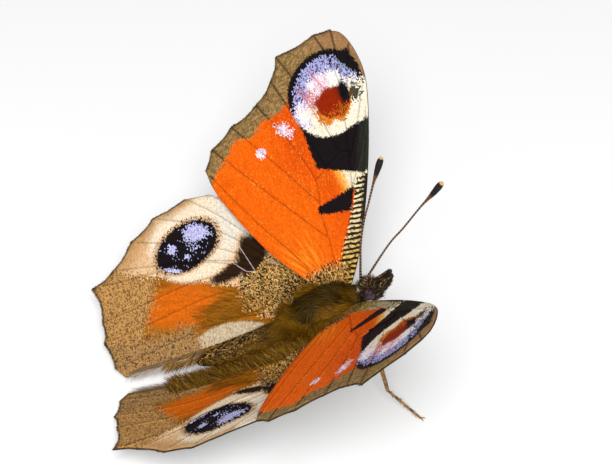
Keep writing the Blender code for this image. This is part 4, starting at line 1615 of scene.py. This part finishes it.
def fringe_roots(margin):
    """Closely spaced places along the margin, with the way out from each."""
    line = np.array([tuple(point) for point in margin])
    steps = walked_along(line)
    walked = np.arange(0.0, steps[-1], FRINGE_STEP)
    out, ahead = (np.interp(walked, steps, line[:, i]) for i in range(2))
    slope_out, slope_ahead = np.gradient(out), np.gradient(ahead)
    return (out, ahead), np.arctan2(slope_out, -slope_ahead)


def tufted(out, ahead, rng):
    wave = 0.5 * np.sin(out * 2.1 + ahead * 1.7)
    return np.clip(0.25 + wave + rng.normal(0, 0.2, len(out)), 0, 1)


fringe_fur = hair_finish("fringe_scales", (0.11, 0.068, 0.035), (0.4, 0.27, 0.15), 0.7)
for side_name, side in SIDES:
    for kind, wing, flat, margin, upper in WING_KINDS:
        edge, outwards = fringe_roots(margin)
        wing_coat(
            f"{kind}_fringe_{side_name}", 19, wing, side, lambda rng: edge, outwards, length=0.2,
            width=0.085, rise=0.0, curl=0.12, golden=tufted, look=fringe_fur, levels=SHORT_LEVELS,
        )

# %% [markdown]
# Each eye is a ball of thousands of tiny lenses. Their domes are too fine to model, so a
# Voronoi bump gives them, on a glossy dark brown with a purple glow in bands.

# %% Eyes
EYE_MIDDLE = (4.45, 0.92, 1.0)
EYE_HALF = (0.7, 0.62, 0.76)
EYE_PITCH = 12.0
EYE_FINENESS = 5


def eye_finish():
    look, tree = finish("eye_lenses")
    where = place_of(tree)
    cells = cells_of(tree, where, 16000.0)
    haze = noise_of(tree, where, 1500.0)
    paint = blend(haze.ramp(0.4, 0.65), (0.01, 0.006, 0.007), (0.045, 0.02, 0.032))
    paint = blend((haze * 40.0).wave().ramp(0.4, 1.0) * 0.4, paint, (0.16, 0.09, 0.07))
    return wired(look, paint, 0.3 + 0.2 * haze, 0.14, 1.0 - cells, 0.4, 0.00002)


lenses = eye_finish()
for side_name, side in SIDES:
    middle = mirrored(EYE_MIDDLE, side)
    eyeball = ball(f"eyeball_{side_name}", middle, EYE_HALF, EYE_PITCH, EYE_FINENESS)
    eyeball.data.materials.append(lenses)
    stands_for(eyeball, "eye", f"eye_{side_name}")
print("two eyes")

# %% [markdown]
# A feeler is a thin dark shaft of about forty short joints, each with a fine pale ring, and
# it ends in a flattened club, brown at its base, black above and cream at the tip. The
# distance along it is kept at every point, so the rings and the club's colours follow it.

# %% Feelers
FEELER_LEFT = (
    (3.8, 0.45, 1.7, 0.15), (3.9, 1.2, 5.8, 0.105), (4.3, 1.8, 8.5, 0.105),
    (4.85, 2.3, 10.5, 0.105), (5.4, 2.8, 12.6, 0.14), (5.7, 3.03, 13.5, 0.26),
    (6.0, 3.27, 14.4, 0.36), (6.2, 3.42, 15.0, 0.32), (6.3, 3.5, 15.3, 0.14),
)
FEELER_RIGHT = (
    (3.7, -0.45, 1.7, 0.15), (6.3, -1.1, 7.3, 0.105), (7.75, -1.6, 9.8, 0.105),
    (9.3, -2.1, 12.6, 0.105), (10.0, -2.29, 13.7, 0.16), (10.5, -2.46, 14.5, 0.28),
    (11.0, -2.65, 15.4, 0.36), (11.28, -2.76, 15.9, 0.3), (11.4, -2.8, 16.1, 0.14),
)
JOINT_LENGTH = 0.36


def length_along(piece, run):
    """The distance of each vertex along a run, in millimetres, and the run's whole length."""
    line = np.array([tuple(point) for point in spline([point[:3] for point in run], 8)])
    steps = walked_along(line)
    places = body_places(piece.data)
    best, found = np.full(len(places), np.inf), np.zeros(len(places))
    for start, end, walked in zip(line, line[1:], steps):
        along = end - start
        t = np.clip(((places - start) @ along) / (along @ along), 0, 1)
        away = np.linalg.norm(places - start - t[:, None] * along, axis=1)
        nearer = away < best
        best[nearer] = away[nearer]
        found[nearer] = walked + (t * np.linalg.norm(along))[nearer]
    return found, steps[-1]


def feeler_finish():
    look, tree = finish("feeler_horn")
    walked, left = number_of(tree, "along"), number_of(tree, "left")
    joint = (walked / JOINT_LENGTH).maths("FRACT")
    ring = (joint - 0.5).size().ramp(0.31, 0.43)
    grain = noise_of(tree, place_of(tree), 9000.0)
    reddish = walked.ramp(2.0, 6.0) * walked.fade(9.0, 12.0)
    paint = blend(reddish, (0.022, 0.011, 0.007), (0.05, 0.017, 0.011))
    paint = blend(ring * 0.8, paint, (0.5, 0.34, 0.2))
    paint = blend(left.fade(2.6, 3.4), paint, (0.13, 0.05, 0.018))
    paint = blend(left.fade(1.7, 2.3), paint, (0.012, 0.009, 0.008))
    paint = blend(left.fade(0.08, 0.24), paint, (0.75, 0.4, 0.16))
    paint = shaded(paint, 0.7 + 0.6 * grain)
    return wired(look, paint, 0.5 + 0.25 * grain, 0.2, ring + grain * 0.4, 0.6, 0.00004)


def horned(piece, run, node, closer=1.0, beyond=0.0):
    """Ringed horn; closer packs the rings, and beyond keeps the club's colours off."""
    walked, total = length_along(piece, run)
    add_number(piece.data, "along", walked * closer)
    add_number(piece.data, "left", total - walked + beyond)
    piece.data.materials.append(horn)
    stands_for(piece, "feeler", node)


horn = feeler_finish()
for side_name, run in (("left", FEELER_LEFT), ("right", FEELER_RIGHT)):
    horned(tube(f"feeler_{side_name}", run, 4, 14), run, f"antenna_{side_name}")
print("two feelers")

# %% [markdown]
# The palps are two blunt brushes in front of the face. They start as velvet tubes that get
# their hair in the next cell. The tongue, rolled up between them, is a tube along a spiral.

# %% Palps and tongue
PALP = ((5.0, 0.5, 0.75, 0.3), (5.6, 0.5, 1.3, 0.36), (6.3, 0.47, 2.0, 0.3), (6.85, 0.38, 2.7, 0.14))
PALP_GOLD = 0.1
TONGUE_START = (5.1, 0.0, 0.4, 0.1)
TONGUE_MIDDLE = (5.75, 0.0, 0.05)
TONGUE_TURNS = 2.6
TONGUE_POINTS = 40

face_velvet = skin_finish("face_velvet", (0.03, 0.02, 0.014), (0.2, 0.11, 0.04))


def velvet_tube(name, run, side, sides, gold, slot, node):
    """A tube in short velvet, ready for its hair."""
    made = tube(name, [mirrored(point, side) for point in run], sides, 6)
    add_number(made.data, "gold", np.full(len(made.data.vertices), gold))
    made.data.materials.append(face_velvet)
    stands_for(made, slot, node)
    return made


palps = []
for side_name, side in SIDES:
    name, node = f"palp_brush_{side_name}", f"palp_{side_name}"
    palps.append(velvet_tube(name, PALP, side, 4, PALP_GOLD, "dark_fur", node))

coil = [TONGUE_START]
for step in range(TONGUE_POINTS):
    share = step / (TONGUE_POINTS - 1)
    angle = 2 * math.pi * TONGUE_TURNS * share + 2.0
    reach = 0.42 * (1 - 0.75 * share)
    forward, up = reach * math.cos(angle), reach * math.sin(angle)
    coil.append((TONGUE_MIDDLE[0] + forward, 0.0, TONGUE_MIDDLE[2] + up, 0.08 - 0.03 * share))
horned(tube("tongue", coil, 3, 3), coil, "proboscis", 3.0, 9.0)
print(len(palps), "palps, and a tongue of", len(coil), "points")

# %% [markdown]
# The face is dark and bristly: short hair that stands up between the eyes, a few longer
# bristles, and small pale tufts behind each eye. The palps' hair points forward and is
# longest below.

# %% Face coats
PALE_SPOTS = ((3.87, -0.44, 1.55), (3.6, -0.42, 0.98))
SPOT_REACH = 0.16
FACE_HAIRS = 4600
PALP_HAIRS = 2600

dark_fur = hair_finish("face_fur", (0.016, 0.01, 0.008), (0.26, 0.15, 0.06))


def bristles(name, seed, piece, count, density, aim, spread, length, width, rise, curl, golden, levels):
    """Short dark fur on the face, the palps or a foreleg."""
    rng = np.random.default_rng(seed)
    roots, normals = scatter(piece, rng, count, density)
    lies = along_skin(aim(*roots.T), normals)
    if spread:
        lies = turned(lies, normals, rng.normal(0, spread, count))
    lengths = length(roots, rng)
    widths = rng.uniform(*width, count)
    patches, gold = unrolled(roots, 0.0, 0.9), golden(roots, rng)
    coat(name, rng, roots, normals, lies, lengths, widths, rise, curl, patches, gold, dark_fur, levels)


def everywhere(points):
    return np.ones(len(points))


def towards(x, y, z):
    """The same direction for every hair."""
    return lambda *places: np.tile((x, y, z), (len(places[0]), 1))


def face_density(points):
    return smoothstep((points[:, 0] - 3.3) / 0.5) + 1e-6


def face_aim(x, y, z):
    return np.stack([-0.25 + 0.9 * (x - 4.0), y * 0.4, 0.75 + 0.2 * z], axis=1)


def face_length(points, rng):
    count = len(points)
    return rng.uniform(0.3, 0.6, count) + 0.5 * (rng.uniform(0, 1, count) < 0.12)


def spotted(points, rng):
    """Dark hair with some gold, and the pale tufts behind each eye."""
    gold = np.where(rng.uniform(0, 1, len(points)) < 0.2, 0.9, 0.05)
    for spot in PALE_SPOTS:
        for side in (1, -1):
            near = np.linalg.norm(points - np.array(mirrored(spot, side)), axis=1) < SPOT_REACH
            gold = np.where(near, 1.9, gold)
    return gold


def palp_length(points, rng):
    """Longer below the palp's middle line."""
    count = len(points)
    lower = np.clip(-(points[:, 2] - 0.75 - 0.95 * (points[:, 0] - 5.0)), 0, 0.6)
    return rng.uniform(0.22, 0.45, count) + lower * rng.uniform(0.2, 1.1, count)


def few_golden(points, rng):
    count = len(points)
    return np.where(rng.uniform(0, 1, count) < 0.15, rng.uniform(0.7, 1.3, count), 0.03)


bristles(
    "face_fur_coat", 23, skin, FACE_HAIRS, face_density, face_aim, 0.35, face_length,
    width=(0.035, 0.07), rise=0.85, curl=0.15, golden=spotted, levels=LONG_LEVELS,
)
for index, palp in enumerate(palps):
    bristles(
        f"palp_fur_{index + 1}", 29 + index, palp, PALP_HAIRS, everywhere, towards(0.62, 0.0, 0.8), 0.25,
        palp_length, width=(0.045, 0.08), rise=0.65, curl=0.1, golden=few_golden, levels=SHORT_LEVELS,
    )


# %% [markdown]
# A leg is a thigh, a shin and a foot of five short joints with two claws. It is covered in
# flat tan scales with darker bands, and small spines point down it. The front pair is small,
# hairy and folded against the chest, and isn't used for walking.

# %% Leg finish


def leg_finish():
    look, tree = finish("leg_scales")
    where = place_of(tree)
    walked = number_of(tree, "along")
    blotch = noise_of(tree, where, 1800.0, 3.0)
    cells = cells_of(tree, where, 11000.0)
    paint = blend(blotch.ramp(0.4, 0.6), (0.5, 0.27, 0.08), (0.3, 0.14, 0.035))
    bands = (walked * 3.1 + blotch * 5.0).wave().ramp(0.45, 0.9)
    paint = blend(bands * 0.7, paint, (0.05, 0.028, 0.014))
    paint = shaded(paint, 1.15 - 0.6 * cells)
    return wired(look, paint, 0.45 + 0.3 * blotch, 0.5, 1.0 - cells, 0.7, 0.00005)


leg_scales = leg_finish()
print("leg finish has", len(leg_scales.node_tree.nodes), "nodes")

# %% [markdown]
# Each part is a tube that swells and narrows along a straight line: its radii are given at
# shares of its length. Spines turn round the leg at random, and the lowest ones are lifted
# so that none goes through the floor.

# %% Parts of a leg
SPINE_FLOOR = (-9.72, -9.76)
SPINES = 34
HALVES = (0.0, 0.5, 1.0)
THIGH = ((0.0, 0.4, 0.85, 1.0), (0.34, 0.36, 0.26, 0.2))
SHIN = ((0.0, 0.25, 0.8, 1.0), (0.2, 0.25, 0.22, 0.19))
SPINE_RADII = (0.032, 0.024, 0.01)
FOOT_JOINTS = (0.0, 0.4, 0.6, 0.75, 0.88, 1.0)


def between(start, end, share):
    return tuple(start[i] + (end[i] - start[i]) * share for i in range(len(start)))


def rod(name, start, end, shares, radii, sides=3, steps=5):
    """A straight part that has its radii at these shares of its length."""
    run = [(*between(start, end, share), radius) for share, radius in zip(shares, radii)]
    return tube(name, run, sides, steps)


def foot(ankle, toe):
    """Five short joints, each a little thicker at its end."""
    parts = []
    for start, end in zip(FOOT_JOINTS, FOOT_JOINTS[1:]):
        first, last = between(ankle, toe, start), between(ankle, toe, end)
        radii = (0.13, 0.15 - 0.02 * start, 0.17 - 0.03 * start)
        parts.append(rod("foot_joint", first, last, HALVES, radii, 3, 3))
    return parts


def claws(toe, ahead, across):
    level = Vector((ahead.x, ahead.y, 0.0)).normalized()
    parts = []
    for sign in (1, -1):
        bent = toe + level * 0.28 + across * sign * 0.16 + Vector((0, 0, 0.06))
        tip = toe + level * 0.46 + across * sign * 0.26 + Vector((0, 0, -0.1))
        parts.append(tube("claw", [(*toe, 0.08), (*bent, 0.055), (*tip, 0.02)], 2, 4))
    return parts


def spines(rng, knee, ankle, toe, across):
    """Spines pointing down the shin and, twice as many, down the foot."""
    parts = []
    for number in range(SPINES):
        top, bottom = (ankle, toe) if number % 3 else (knee, ankle)
        base = Vector(between(top, bottom, (number + 0.5) / SPINES))
        run = (bottom - top).normalized()
        turn = rng.uniform(0, 2 * math.pi)
        out = (across * math.cos(turn) + run.cross(across) * math.sin(turn)).normalized()
        start, end = base + out * 0.12, base + out * 0.3 + run * 0.24
        start.z, end.z = max(start.z, SPINE_FLOOR[0]), max(end.z, SPINE_FLOOR[1])
        parts.append(rod("spine", start, end, HALVES, SPINE_RADII, 1, 1))
    return parts


print("a foot has", len(FOOT_JOINTS) - 1, "joints, and a leg", SPINES, "spines")

# %% [markdown]
# The middle and hind legs stand on the floor, each one mesh for its thigh, shin and foot.
# The forelegs are velvet tubes with a coat of bristles, made like the palps.

# %% Legs
SOLE_HEIGHT = -9.62
MIDDLE_LEG = ((0.6, 1.2, -2.6), (4.4, 4.2, -2.6), (5.6, 6.8, -7.5), (8.7, 9.2, -9.58))
HIND_LEG = ((-1.0, 0.8, -3.2), (-4.2, 4.9, -6.75), (-8.4, 6.4, -8.95), (-12.0, 6.8, -9.58))
FOOT_SHIFTS = {"middle_leg_left": (-0.9, -0.3, 0.0)}
FORELEG = ((1.8, 0.9, -2.0, 0.26), (3.0, 1.1, -2.7, 0.24), (4.0, 1.05, -1.9, 0.22), (4.4, 1.0, -1.2, 0.16))
FORELEG_GOLD = 0.3
FORELEG_HAIRS = 1200
FORELEG_SEEDS = {"left": 41, "right": 43}


def leg(name, knots, side):
    hip, knee, ankle, toe = [Vector(mirrored(knot, side)) for knot in knots]
    toe = toe + Vector(FOOT_SHIFTS.get(name, (0, 0, 0)))
    toe.z = SOLE_HEIGHT
    ahead = (toe - ankle).normalized()
    across = ahead.cross(Vector((0, 0, 1))).normalized()
    parts = [rod("thigh", hip, knee, *THIGH), rod("shin", knee, ankle, *SHIN)]
    parts += foot(ankle, toe) + claws(toe, ahead, across)
    parts += spines(random.Random(name), knee, ankle, toe, across)
    made = joined(parts, name)
    add_number(made.data, "along", length_along(made, (hip, knee, ankle, toe))[0])
    made.data.materials.append(leg_scales)
    stands_for(made, "leg", *[f"{name}_{part}" for part in ("femur", "tibia", "tarsus")])


for side_name, side in SIDES:
    leg(f"middle_leg_{side_name}", MIDDLE_LEG, side)
    leg(f"hind_leg_{side_name}", HIND_LEG, side)
    name, node = f"front_leg_{side_name}", f"foreleg_{side_name}"
    brush = velvet_tube(name, FORELEG, side, 3, FORELEG_GOLD, "leg", node)
    bristles(
        f"front_leg_fur_{side_name}", FORELEG_SEEDS[side_name], brush, FORELEG_HAIRS, everywhere,
        towards(0.5, 0.0, 0.6), 0.0, lambda points, rng: rng.uniform(0.3, 0.65, len(points)),
        width=(0.04, 0.07), rise=0.7, curl=0.12,
        golden=lambda points, rng: rng.uniform(0, 0.7, len(points)), levels=SHORT_LEVELS,
    )
print("legs made")
